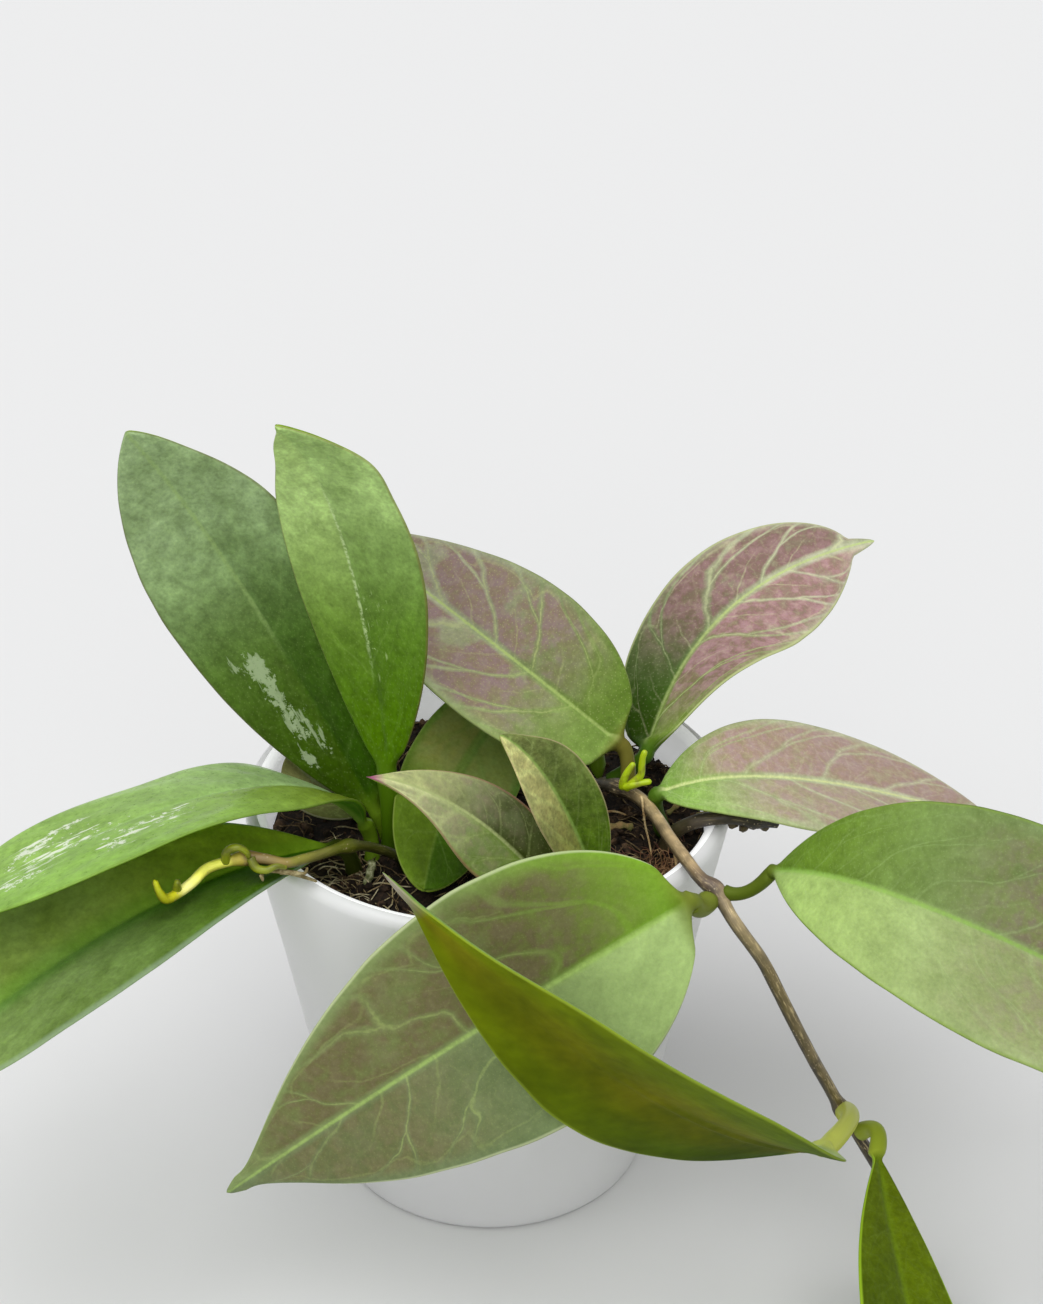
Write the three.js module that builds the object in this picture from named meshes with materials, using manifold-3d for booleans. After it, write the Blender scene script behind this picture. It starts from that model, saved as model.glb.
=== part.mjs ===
// Sunrise hoya: a young climbing plant rooted in a round white pot.
// Millimetres, +Z up. The origin is the centre of the pot's underside, the front faces -Y and
// +X points to the right as the plant is seen from the front.

import * as THREE from 'three';
import { mergeVertices } from 'three/addons/utils/BufferGeometryUtils.js';
import Module from 'manifold-3d';

// The pot is a plain cone with a rounded foot and a thicker rounded lip
const pot = {
  baseRadius: 30,
  rimRadius: 45,
  height: 81,
  wall: 2.6,
  floor: 3.5,
  footRound: 1.6,
  lipRadius: 1.9,
  drainRadius: 2.5,
  drainCircle: 17,
  drainHoles: 4,
  sides: 56,
};

// firm says how far from a root or stem the soil's top starts to be rough, and is fully rough
const soil = { level: 72, roughness: 0.8, firm: [2, 8], ringStep: 3.4, sides: 44 };

// Neighbouring pieces keep this much air
const clearance = 0.35;

// Leaves are thick and waxy, on round stalks
const bladeThickness = 1.0;
const marginThickness = 0.7;
const stalkRadius = 1.25;
const stalkStations = 4;
const bladeStations = 16;

// Stems swell where leaves grow from them
const stemSides = 8;
const stemStep = 3;
const swelling = 0.35;
const swellingReach = 2;

// base, middle and tip lie on the midrib, and foot is the point that the stalk grows from: on the
// soil, or on the axis of a stem, where the stalk starts standOff away from the axis. bend is how
// far the stalk curves before it meets the blade. face is the way that the upper side looks. rise
// and fall shape the outline towards the base and the tip, fold is the angle in degrees by which
// each half is lifted, and skew makes one half wider than the other.
const leaves = {
  leaf_back_left: {
    foot: [-18.5, -3, 72], base: [-20.5, -2, 76.5], middle: [-45, 9.5, 120], tip: [-63, 9.5, 149.5],
    width: 34.5, face: [-0.44, -0.67, 0.6], rise: 0.79, fall: 0.88, fold: 11, skew: -0.06,
    color: '#4c7a3a',
  },
  leaf_upright: {
    foot: [-18, -6.5, 72], base: [-18.3, -7, 88], middle: [-25, 0.5, 132], tip: [-35.5, -6.5, 158],
    width: 27, face: [-0.48, -0.77, 0.42], rise: 0.75, fall: 0.83, fold: 6, skew: -0.14,
    color: '#6a9a35',
  },
  leaf_upper_left: {
    foot: [-21.5, -10.5, 72], base: [-22.5, -8.5, 78.5], middle: [-47, -21.5, 94], tip: [-95.5, -46, 83.5],
    width: 31, face: [-0.07, 0.21, 0.98], rise: 1.02, fall: 0.55, fold: 2, skew: 0,
    color: '#4f8a3a',
  },
  leaf_lower_left: {
    foot: [-24.5, -13, 72], base: [-27.5, -19.5, 81], middle: [-62.5, -37.5, 78.5], tip: [-103, -63, 59],
    bend: 0.25,
    width: 39.5, face: [0.02, -0.1, 0.99], rise: 1.04, fall: 0.57, fold: 17, skew: 0,
    color: '#3f7d22',
  },
  leaf_behind_left: {
    foot: [-17, 4, 72], base: [-21, 4, 74.8], middle: [-29.5, 2.5, 78.6], tip: [-37.5, 6.5, 84],
    width: 15, face: [-0.1, -0.24, 0.97], rise: 1.1, fall: 0.8, fold: 8, skew: 0,
    color: '#6f8160',
  },
  leaf_centre_purple: {
    foot: [25.6, -4, 82.2], base: [24.5, -0.3, 90], middle: [-2, 14.5, 106], tip: [-27.5, 46, 110.5],
    standOff: 2.4, bend: 0.25,
    width: 32, face: [0.12, -0.63, 0.77], rise: 0.65, fall: 1.05, fold: 11, skew: 0.01,
    color: '#7b6a5f',
  },
  leaf_top_right: {
    foot: [21.8, 1.4, 80.3], base: [29.3, 3, 86], middle: [46, 30, 101], tip: [75, 41.5, 110],
    standOff: 4, bend: 0.1,
    width: 31, face: [-0.64, -0.63, 0.44], rise: 0.74, fall: 0.93, fold: 8, skew: -0.12,
    color: '#8a6a68',
  },
  leaf_middle_right: {
    foot: [33, -1.5, 72], base: [33.2, -8.2, 86], middle: [57.3, -4.5, 85], tip: [97, 9.5, 65],
    bend: 0.1,
    width: 30.5, face: [0, -0.21, 0.98], rise: 0.9, fall: 0.68, fold: 6, skew: -0.03,
    color: '#8f8a6e',
  },
  leaf_big_right: {
    foot: [39.4, -34.3, 81.5], base: [49, -36, 86.5], middle: [77.5, -51, 87.3], tip: [131, -56.5, 58.5],
    standOff: 2.25,
    width: 42, face: [0.06, -0.61, 0.79], rise: 0.97, fall: 0.55, fold: 14, skew: 0,
    color: '#7fae5c',
  },
  leaf_front: {
    foot: [39.4, -34.3, 81.5], base: [34.5, -41.5, 84.5], middle: [-8.5, -60.5, 67], tip: [-46, -59.5, 36],
    standOff: 2.25,
    width: 45, face: [0.04, -0.9, 0.43], rise: 0.71, fall: 1.3, fold: 9, skew: -0.03,
    color: '#748a50',
  },
  leaf_front_narrow: {
    foot: [63.2, -42, 38.5], base: [58.5, -58, 41], middle: [24.2, -76.5, 72.5], tip: [-16.5, -75, 114],
    standOff: 2.15,
    width: 38, face: [0.5, 0.84, 0.21], rise: 0.76, fall: 0.97, fold: -12, skew: 0,
    color: '#5f7a10',
  },
  leaf_trailing: {
    foot: [66.3, -42.5, 33.1], base: [68.5, -51.5, 33.5], middle: [71.5, -80, 23.5], tip: [79, -124, 5],
    standOff: 2.05,
    width: 25, face: [0.5, -0.65, 0.57], rise: 1, fall: 0.5, fold: 8, skew: -0.06,
    color: '#6a8a1c',
  },
  leaf_centre_small: {
    foot: [14, -28.5, 72], base: [10, -28, 78.5], middle: [-5, -22.5, 91], tip: [-21, -29, 102],
    width: 16.5, face: [-0.09, -0.52, 0.85], rise: 0.55, fall: 1.3, fold: 12, skew: 0.09,
    color: '#8a9a62',
  },
  leaf_centre_folded: {
    foot: [21, -27, 72], base: [19, -27, 77.5], middle: [11, -29, 99.5], tip: [2, -31, 111.5],
    width: 15.5, face: [0.14, -0.73, 0.67], rise: 0.68, fall: 0.84, fold: 32, skew: 0.02,
    color: '#6f8048',
  },
  leaf_centre_dark: {
    foot: [20.8, 3, 79.5], base: [9, 17, 93], middle: [-4.5, 3, 84], tip: [-11.5, -28, 77.5],
    standOff: 2,
    width: 22, face: [0.13, -0.78, 0.62], rise: 0.62, fall: 0.5, fold: 9, skew: 0.05,
    color: '#47682c',
  },
};

// Stems: the points that each axis runs through, its radius at both ends, and the number of the
// points where it swells
const stems = {
  stem_trailing: {
    route: [
      [16, 4.5, 72.7], [17.2, 4.3, 76.5], [20.8, 3, 79.5], [24.1, -2.3, 82], [27.6, -6.3, 82.4],
      [30.2, -12.4, 82.5], [32.4, -20, 82.7], [34.8, -27.1, 82.9], [37.2, -32.6, 82.5],
      [39.4, -34.3, 81.5], [42.4, -37.7, 77.5], [47.7, -38.8, 69.5], [55.3, -42, 54.4],
      [63.2, -42, 38.5], [66.3, -42.5, 33.1], [72.5, -43.5, 23.5], [77.6, -45, 12.8],
      [81.5, -47.5, 6], [84.6, -52.5, 2.6], [88.5, -61, 2.1], [93.5, -69, 2.2], [100, -75, 2],
      [106, -78, 2.2],
    ],
    radius: [1.4, 1.1],
    knots: [3, 9, 13, 14, 20],
    color: '#5e5240',
  },
  stem_left: {
    route: [
      [-15, -13.5, 72.7], [-16.3, -14.2, 75], [-20.5, -16.8, 79], [-25, -21.3, 82.5],
      [-28.8, -26.3, 84.5], [-32, -30.3, 86], [-35.3, -33, 87], [-38.7, -33.2, 88],
      [-42.2, -32.8, 88], [-44.9, -33.7, 88], [-48.8, -34.6, 87], [-51.1, -37.3, 86],
      [-53.1, -39.4, 85.5], [-55.1, -42, 86], [-56, -42.8, 88], [-56.7, -42.9, 90.7],
    ],
    radius: [1.3, 0.8],
    knots: [3, 8],
    color: '#8a8a3a',
  },
  stem_cut: {
    route: [
      [32.3, -7.5, 72.9], [33, -8.6, 75], [37, -12.4, 81], [42.3, -13.8, 82.9], [48.3, -12.5, 81.7],
      [53, -11.7, 80.5],
    ],
    radius: [1.2, 1.0],
    knots: [4],
    color: '#4a4632',
  },
};

// Young yellow-green sprouts at the first knot of the trailing stem, joined at their foot
const sprouts = {
  routes: [
    [[25.4, -5.4, 85], [24.9, -5.8, 86.4], [25.3, -5.6, 88.2], [26.6, -5.4, 89.8]],
    [[25.4, -5.4, 85], [27, -6.6, 85.6], [28, -6.9, 87.2], [27.8, -6.9, 89.5], [28.5, -6.9, 92.2]],
    [[25.4, -5.4, 85], [27.8, -7, 85.6], [30, -7.4, 86.3]],
  ],
  radius: [0.85, 0.6],
  sides: 7,
  step: 1,
  color: '#b6c92e',
};

// Young leaves at the growing end of the trailing stem, which lies on the surface
const growingEnd = {
  start: [106.6, -78.3, 2.3],
  bud: [111, -80, 5],
  joint: [108, -78.8, 3],
  tips: [[117.5, -74, 7.5], [114, -89, 7]],
  radius: [1.1, 0.4],
  step: 1.5,
  stalkShare: 0.15,
  middleShare: 0.55,
  arch: 1.2,
  leaf: { width: 6, stalk: 0.6, stations: 8, face: [0, 0, 1], rise: 0.7, fall: 0.9, fold: 8, skew: 0 },
  color: '#9a7a4a',
};

const colors = { pot: '#f1f1ef', soil: '#2b221b' };

const fullTurn = 2 * Math.PI;
const point = ([x, y, z]) => new THREE.Vector3(x, y, z);
const between = THREE.MathUtils.lerp;

// Closed skin over rings with equal point counts, fanned to a point at each end. Both halves of a
// ring are split by mirrored diagonals, so that the two faces of a blade carry the same triangles.
function skin(rings, first, last) {
  const count = rings[0].length;
  const corners = [first, ...rings.flat(), last].flatMap((corner) => corner.toArray());
  const corner = (ring, k) => 1 + ring * count + (k % count);
  const index = [];
  for (let k = 0; k < count; k += 1) {
    index.push(0, corner(0, k + 1), corner(0, k));
    index.push(1 + rings.length * count, corner(rings.length - 1, k), corner(rings.length - 1, k + 1));
  }
  for (let ring = 0; ring < rings.length - 1; ring += 1) {
    for (let k = 0; k < count; k += 1) {
      const [a, b] = [corner(ring, k), corner(ring, k + 1)];
      const [d, c] = [corner(ring + 1, k), corner(ring + 1, k + 1)];
      index.push(...(2 * k < count ? [a, b, c, a, c, d] : [a, b, d, b, c, d]));
    }
  }
  const geometry = new THREE.BufferGeometry();
  geometry.setAttribute('position', new THREE.Float32BufferAttribute(corners, 3));
  geometry.setIndex(index);
  geometry.computeVertexNormals();
  return geometry;
}

// Round ring about the Z axis, with its height given as a number or worked out at each corner
function levelRing(radius, height, sides) {
  return Array.from({ length: sides }, (_, k) => {
    const x = radius * Math.cos((fullTurn * k) / sides);
    const y = radius * Math.sin((fullTurn * k) / sides);
    return new THREE.Vector3(x, y, typeof height === 'function' ? height(x, y) : height);
  });
}

const { Manifold, Mesh: SolidMesh } = await Module().then((library) => {
  library.setup();
  return library;
});

function toSolid(geometry) {
  const bare = geometry.clone();
  bare.deleteAttribute('normal');
  bare.deleteAttribute('uv');
  const merged = mergeVertices(bare, 1e-4);
  const vertProperties = Float32Array.from(merged.attributes.position.array);
  const triVerts = Uint32Array.from(merged.index.array);
  return new Manifold(new SolidMesh({ numProp: 3, vertProperties, triVerts }));
}

function toGeometry(solid) {
  const { vertProperties, triVerts } = solid.getMesh();
  const geometry = new THREE.BufferGeometry();
  geometry.setAttribute('position', new THREE.BufferAttribute(vertProperties, 3));
  geometry.setIndex(new THREE.BufferAttribute(triVerts, 1));
  geometry.computeVertexNormals();
  return geometry;
}

// Outer radius of the pot's cone at a height
function potRadius(z) {
  return between(pot.baseRadius, pot.rimRadius, z / pot.height);
}

// Points [radius, height] of a quarter or half circle
function arc(centreRadius, centreHeight, radius, from, to, steps) {
  return Array.from({ length: steps + 1 }, (_, k) => {
    const angle = THREE.MathUtils.degToRad(between(from, to, k / steps));
    return [centreRadius + radius * Math.cos(angle), centreHeight + radius * Math.sin(angle)];
  });
}

function potGeometry() {
  const { footRound, lipRadius, wall, floor, height, sides } = pot;
  const lipCentre = [pot.rimRadius - lipRadius, height - lipRadius];
  const innerTop = height - 3 * lipRadius;
  const profile = [
    ...arc(potRadius(footRound) - footRound, footRound, footRound, -90, 0, 3),
    [potRadius(height / 3), height / 3],
    [potRadius((2 * height) / 3), (2 * height) / 3],
    ...arc(...lipCentre, lipRadius, 0, 180, 8),
    [potRadius(innerTop) - wall, innerTop],
    [potRadius(height / 2) - wall, height / 2],
    [potRadius(floor) - wall, floor],
  ];
  const rings = profile.map(([radius, z]) => levelRing(radius, z, sides));
  const bowl = toSolid(skin(rings, new THREE.Vector3(), new THREE.Vector3(0, 0, floor)));
  const holes = Array.from({ length: pot.drainHoles }, (_, k) => {
    const turn = (fullTurn * (k + 0.5)) / pot.drainHoles;
    const hole = new THREE.CylinderGeometry(pot.drainRadius, pot.drainRadius, 3 * floor, 24);
    hole.rotateX(Math.PI / 2);
    hole.translate(pot.drainCircle * Math.cos(turn), pot.drainCircle * Math.sin(turn), floor / 2);
    return toSolid(hole);
  });
  return toGeometry(holes.reduce((body, hole) => body.subtract(hole), bowl));
}

// The soil fills the pot. Its top is rough, and level and firm round everything rooted in it.
function soilGeometry(roots) {
  const top = (x, y) => {
    const nearest = Math.min(...roots.map((root) => Math.hypot(x - root.x, y - root.y)));
    const loose = THREE.MathUtils.smoothstep(nearest, ...soil.firm);
    const bumps = Math.sin(0.42 * x + 1) * Math.cos(0.37 * y) + 0.5 * Math.sin(0.31 * x - 0.58 * y);
    return soil.level + soil.roughness * loose * bumps;
  };
  const inside = pot.wall + 1.5 * clearance;
  const bottom = pot.floor + clearance;
  const topRadius = potRadius(soil.level) - inside;
  const ringCount = Math.floor(topRadius / soil.ringStep);
  const topRings = Array.from({ length: ringCount }, (_, k) => (
    levelRing(topRadius * (1 - k / ringCount), top, soil.sides)
  ));
  const rings = [
    levelRing(potRadius(bottom) - inside, bottom, soil.sides),
    levelRing(potRadius(soil.level / 2) - inside, soil.level / 2, soil.sides),
    ...topRings,
  ];
  return skin(rings, new THREE.Vector3(0, 0, bottom), new THREE.Vector3(0, 0, top(0, 0)));
}

// Quadratic curve from start to end that runs through the middle point halfway
function arcThrough(start, middle, end) {
  const control = middle.clone().multiplyScalar(2);
  control.addScaledVector(start, -0.5).addScaledVector(end, -0.5);
  return new THREE.QuadraticBezierCurve3(start, control, end);
}

// Curve of a leaf's stalk, which meets the midrib without a kink. It starts just clear of the soil
// or of the stem that it grows from.
function stalkCurve(leaf, base, direction) {
  const foot = point(leaf.foot);
  const bend = base.clone().addScaledVector(direction, -(leaf.bend ?? 0.5) * foot.distanceTo(base));
  const away = bend.clone().sub(foot).normalize();
  if (leaf.joined) return new THREE.QuadraticBezierCurve3(foot, bend, base);
  if (leaf.standOff) foot.addScaledVector(away, leaf.standOff);
  else foot.z = soil.level + clearance + stalkRadius * Math.hypot(away.x, away.y);
  return new THREE.QuadraticBezierCurve3(foot, bend, base);
}

// Share of a blade's half width at t along its midrib, 1 at the widest place
function bladeShare(t, rise, fall) {
  const widest = rise / (rise + fall);
  const peak = widest ** rise * (1 - widest) ** fall;
  return (t ** rise * (1 - t) ** fall) / peak;
}

// One ring of a leaf at a point on its axis. flat runs from 0 on the round stalk to 1 on the blade.
function leafRing(centre, side, up, halfWidth, flat, leaf) {
  const across = [1, 0.94, 0.5, 0, -0.5, -0.94, -1];
  const height = [0, marginThickness, bladeThickness, bladeThickness, bladeThickness, marginThickness, 0];
  const fold = THREE.MathUtils.degToRad(leaf.fold) * flat;
  return Array.from({ length: 12 }, (_, k) => {
    const place = k <= 6 ? k : 12 - k;
    const angle = (fullTurn * k) / 12;
    const x = between(Math.cos(angle), across[place], flat);
    const lower = k > 6 ? -1 : 1;
    const y = between(Math.sin(angle) * (leaf.stalk ?? stalkRadius), (lower * height[place]) / 2, flat);
    const reach = x * halfWidth * (1 + leaf.skew * Math.sign(x) * flat);
    return centre.clone()
      .addScaledVector(side, reach * Math.cos(fold))
      .addScaledVector(up, Math.abs(reach) * Math.sin(fold) + y);
  });
}

// A leaf is one solid: its round stalk widens into the thin blade
function leafGeometry(leaf) {
  const stalkWidth = leaf.stalk ?? stalkRadius;
  const stations = leaf.stations ?? bladeStations;
  const [base, middle, tip, face] = [leaf.base, leaf.middle, leaf.tip, leaf.face].map(point);
  const midrib = arcThrough(base, middle, tip);
  const stalk = stalkCurve(leaf, base, midrib.getTangent(0));
  const rings = [];
  const baseSide = face.clone().cross(midrib.getTangent(0)).normalize();
  for (let k = 0; k < stalkStations; k += 1) {
    const along = stalk.getTangent(k / stalkStations);
    const side = baseSide.clone().addScaledVector(along, -baseSide.dot(along)).normalize();
    const up = along.clone().cross(side);
    rings.push(leafRing(stalk.getPoint(k / stalkStations), side, up, stalkWidth, 0, leaf));
  }
  for (let k = 0; k < stations; k += 1) {
    const t = (1 - Math.cos((Math.PI * k) / stations)) / 2;
    const along = midrib.getTangent(t);
    const side = face.clone().cross(along).normalize();
    const up = along.clone().cross(side);
    const flat = THREE.MathUtils.smoothstep(t, 0, 0.08);
    const blade = (leaf.width / 2) * bladeShare(t, leaf.rise, leaf.fall);
    rings.push(leafRing(midrib.getPoint(t), side, up, between(stalkWidth, blade, flat), flat, leaf));
  }
  return skin(rings, stalk.getPoint(0), tip);
}

// Round stem along a smooth route, tapered from one radius to the other and swollen at its knots
function stemGeometry({ route, radius, knots = [], sides = stemSides, step = stemStep }) {
  const curve = new THREE.CatmullRomCurve3(route.map(point), false, 'centripetal');
  const stations = Math.ceil(curve.getLength() / step);
  const frames = curve.computeFrenetFrames(stations);
  const rings = [];
  for (let k = 0; k <= stations; k += 1) {
    const centre = curve.getPointAt(k / stations);
    const reaches = knots.map((knot) => centre.distanceTo(point(route[knot])) / swellingReach);
    const swells = reaches.map((reach) => Math.exp(-(reach ** 2)));
    const thickness = between(...radius, k / stations) * (1 + swelling * Math.max(0, ...swells));
    rings.push(Array.from({ length: sides }, (_, side) => {
      const angle = (fullTurn * side) / sides;
      return centre.clone()
        .addScaledVector(frames.normals[k], thickness * Math.cos(angle))
        .addScaledVector(frames.binormals[k], thickness * Math.sin(angle));
    }));
  }
  return skin(rings, curve.getPointAt(0), curve.getPointAt(1));
}

function sproutsGeometry() {
  const { routes, radius, sides, step } = sprouts;
  const solids = routes.map((route) => toSolid(stemGeometry({ route, radius, sides, step })));
  return toGeometry(solids.reduce((body, part) => body.add(part)));
}

// Two small leaves and a bud that grow together from the stem's end
function growingEndGeometry() {
  const { start, bud, joint, tips, radius, step, stalkShare, middleShare, arch, leaf } = growingEnd;
  const young = tips.map((tip) => {
    const base = point(joint).lerp(point(tip), stalkShare).toArray();
    const middle = point(joint).lerp(point(tip), middleShare);
    middle.z += arch;
    const places = { joined: true, foot: joint, base, middle: middle.toArray(), tip };
    return toSolid(leafGeometry({ ...leaf, ...places }));
  });
  const shoot = toSolid(stemGeometry({ route: [start, joint, bud], radius, step }));
  return toGeometry(young.reduce((body, part) => body.add(part), shoot));
}

function piece(name, geometry, color, roughness) {
  const material = new THREE.MeshStandardMaterial({ color, roughness, metalness: 0 });
  const mesh = new THREE.Mesh(geometry, material);
  mesh.name = name;
  return mesh;
}

const rooted = [
  ...Object.values(leaves).filter((leaf) => !leaf.standOff).map((leaf) => point(leaf.foot)),
  ...Object.values(stems).map((stem) => point(stem.route[0])).filter((start) => start.z < soil.level + 2),
];

const plant = new THREE.Group();
plant.name = 'sunrise_hoya';
plant.add(piece('pot', potGeometry(), colors.pot, 0.35));
plant.add(piece('soil', soilGeometry(rooted), colors.soil, 0.95));
for (const [name, stem] of Object.entries(stems)) {
  plant.add(piece(name, stemGeometry(stem), stem.color, 0.6));
}
plant.add(piece('sprouts', sproutsGeometry(), sprouts.color, 0.5));
plant.add(piece('growing_end', growingEndGeometry(), growingEnd.color, 0.5));
for (const [name, leaf] of Object.entries(leaves)) {
  plant.add(piece(name, leafGeometry(leaf), leaf.color, 0.45));
}

export default plant;
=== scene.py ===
import math
import random
from functools import partial

import bmesh
import bpy
from mathutils import Matrix, Vector, geometry, noise


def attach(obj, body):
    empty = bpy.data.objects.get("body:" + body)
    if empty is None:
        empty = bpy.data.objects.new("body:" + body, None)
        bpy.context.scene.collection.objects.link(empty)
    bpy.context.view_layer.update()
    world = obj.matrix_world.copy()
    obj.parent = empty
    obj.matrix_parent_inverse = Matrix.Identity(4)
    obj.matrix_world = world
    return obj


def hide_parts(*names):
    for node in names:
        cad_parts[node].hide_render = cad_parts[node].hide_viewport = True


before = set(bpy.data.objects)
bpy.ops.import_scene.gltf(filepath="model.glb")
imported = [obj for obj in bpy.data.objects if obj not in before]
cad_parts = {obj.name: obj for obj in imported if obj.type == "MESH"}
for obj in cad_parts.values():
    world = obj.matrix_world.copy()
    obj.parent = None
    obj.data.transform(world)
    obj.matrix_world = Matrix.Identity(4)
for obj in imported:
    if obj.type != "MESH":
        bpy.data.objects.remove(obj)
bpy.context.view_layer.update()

# Sunrise hoya in a white pot. Sizes are in millimetres, and leave for Blender in metres.
mm = 0.001
weld = 0.0005 * mm
lightFrom = Vector((0.38, -0.5, 0.78))  # painted light: the side of a stem facing this way is painted lighter, its edges painted darker
random.seed(11)

# Settings that many nodes share
smooth = {"interpolation_type": "SMOOTHSTEP"}
blend = {"out": 2, "data_type": "RGBA"}
darken = {**blend, "blend_type": "MULTIPLY"}
times = {"operation": "MULTIPLY"}
timesPlus = {"operation": "MULTIPLY_ADD"}
minus = {"operation": "SUBTRACT"}
absolute = {"operation": "ABSOLUTE"}
greater = {"operation": "MAXIMUM"}
seeded = {"noise_dimensions": "4D"}


def linear(hexColour):
    parts = [int(hexColour[i:i + 2], 16) / 255 for i in (1, 3, 5)]
    return [p / 12.92 if p <= 0.04045 else ((p + 0.055) / 1.055) ** 2.4 for p in parts] + [1.0]


def between(low, high, share):
    return low + (high - low) * share


def ease(value, low, high):  # 0 below low, 1 above high, smooth between them
    share = min(1.0, max(0.0, (value - low) / (high - low)))
    return share * share * (3 - 2 * share)


def plug(node, inputs):  # sets a node's inputs, or links them to other nodes
    for key, value in inputs.items():
        if isinstance(value, bpy.types.NodeSocket):
            node.id_data.links.new(value, node.inputs[key])
        else:
            node.inputs[key].default_value = value


def addNode(tree, kind, inputs=None, out=0, **settings):  # one node, with its settings and links
    made = tree.nodes.new("ShaderNode" + kind)
    for key, value in settings.items():
        setattr(made, key, value)
    plug(made, inputs or {})
    return made.outputs[out]


def newSkin(name, **surface):  # a material, what adds a node to it, and its shader with its own values set
    skin = bpy.data.materials.new(name)
    skin.use_nodes = True
    shader = skin.node_tree.nodes["Principled BSDF"]
    plug(shader, {key.replace("_", " "): value for key, value in surface.items()})
    return skin, partial(addNode, skin.node_tree), shader


def layered(add, colour, layers):  # a colour under others, each with its share
    for share, tone in layers:
        tone = linear(tone) if isinstance(tone, str) else tone
        colour = add("Mix", {0: share, 6: colour, 7: tone}, **blend)
    return colour


def varied(add, colour, sources):  # a colour that each source makes darker or lighter
    for source, low, high in sources:
        shade = add("MapRange", {0: source, 1: 0.3, 2: 0.7, 3: low, 4: high})
        colour = add("Mix", {0: 1.0, 6: colour, 7: shade}, **darken)
    return colour


# Camera: looks down on the pot from the front, as the photograph does
camera = {"place": (0, -420, 353), "down": 30.07, "turn": 0.84, "focus": 2700, "frame": (1043, 1304), "film": 36}


def setCamera(values):
    lens = bpy.data.cameras.new("camera")
    lens.sensor_width = values["film"]
    lens.lens = values["focus"] * values["film"] / max(values["frame"])
    lens.clip_start = 0.01
    lens.clip_end = 20
    stand = bpy.data.objects.new("camera", lens)
    bpy.context.scene.collection.objects.link(stand)
    down, turn = math.radians(values["down"]), math.radians(values["turn"])
    gaze = Vector((math.sin(turn) * math.cos(down), math.cos(turn) * math.cos(down), -math.sin(down)))
    stand.location = Vector(values["place"]) * mm
    stand.rotation_euler = gaze.to_track_quat("-Z", "Y").to_euler()
    bpy.context.scene.camera = stand


# Studio: pale floor under an overcast sky, with a weak fill from the side of the camera
studio = {
    "floor": "#dfdfdf",
    "floorSize": 6000,
    "sky": "#f4f5f6",
    "skyPower": 0.5,
    "suns": [
        {"name": "overcastSky", "from": (-0.15, -0.3, 1), "spread": 60, "power": 2.05},
        {"name": "frontFill", "from": (0, -0.86, 0.5), "spread": 40, "power": 0.52},
    ],
}


def setStudio(values):
    bm = bmesh.new()
    bmesh.ops.create_grid(bm, x_segments=1, y_segments=1, size=values["floorSize"] / 2 * mm)
    mesh = bpy.data.meshes.new("floor")
    bm.to_mesh(mesh)
    bm.free()
    floor = bpy.data.objects.new("floor", mesh)
    bpy.context.scene.collection.objects.link(floor)
    paper = newSkin("paperFloor", Base_Color=linear(values["floor"]), Roughness=0.9, Specular_IOR_Level=0.1)[0]
    mesh.materials.append(paper)
    world = bpy.data.worlds.new("studio")
    bpy.context.scene.world = world
    world.use_nodes = True
    sky = world.node_tree.nodes["Background"]
    sky.inputs["Color"].default_value = linear(values["sky"])
    sky.inputs["Strength"].default_value = values["skyPower"]
    for light in values["suns"]:
        lamp = bpy.data.lights.new(light["name"], "SUN")
        lamp.energy = light["power"]
        lamp.angle = math.radians(light["spread"])
        stand = bpy.data.objects.new(light["name"], lamp)
        bpy.context.scene.collection.objects.link(stand)
        stand.rotation_euler = (-Vector(light["from"])).to_track_quat("-Z", "Y").to_euler()
    bpy.context.scene.view_settings.view_transform = "Standard"


# Curves and skins that the pieces share
def bow(start, bend, end, t):  # point and heading on a quadratic curve
    point = start * (1 - t) ** 2 + bend * (2 * t * (1 - t)) + end * t ** 2
    return point, ((bend - start) * (1 - t) + (end - bend) * t).normalized()


def smoothRoute(stops, step):  # points and headings, evenly spaced on a smooth curve through the stops
    stops = [Vector(stop) for stop in stops]
    stops = [2 * stops[0] - stops[1]] + stops + [2 * stops[-1] - stops[-2]]
    dense = [stops[1]]
    for a, b, c, d in zip(stops, stops[1:], stops[2:], stops[3:]):
        ab, bc, cd = [math.sqrt((q - p).length) for p, q in ((a, b), (b, c), (c, d))]
        leave = bc * ((b - a) / ab - (c - a) / (ab + bc) + (c - b) / bc)
        reach = bc * ((c - b) / bc - (d - b) / (bc + cd) + (d - c) / cd)
        dense += geometry.interpolate_bezier(b, b + leave / 3, c - reach / 3, c, 14)[1:]
    run = [0.0]
    for a, b in zip(dense, dense[1:]):
        run.append(run[-1] + (b - a).length)
    count = max(2, round(run[-1] / step))
    points, k = [], 0
    for station in range(count + 1):
        goal = run[-1] * station / count
        while k < len(dense) - 2 and run[k + 1] < goal:
            k += 1
        share = min(1, (goal - run[k]) / max(1e-9, run[k + 1] - run[k]))
        points.append(dense[k].lerp(dense[k + 1], share))
    ends = [points[0], *points, points[-1]]
    return [(p, (ends[k + 2] - ends[k]).normalized()) for k, p in enumerate(points)], run[-1]


def rolled(bm, around, along, shape):  # a sheet rolled into a closed skin; shape places each vertex
    made = bmesh.ops.create_grid(bm, x_segments=around, y_segments=along, size=0.5)["verts"]
    for face in {face for vert in made for face in vert.link_faces}:
        face.material_index = int(face.calc_center_median().x > 0)
        face.smooth = True
    for vert in made:
        shape(vert, vert.co.x + 0.5, vert.co.y + 0.5)
    bmesh.ops.remove_doubles(bm, verts=made, dist=weld)


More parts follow.
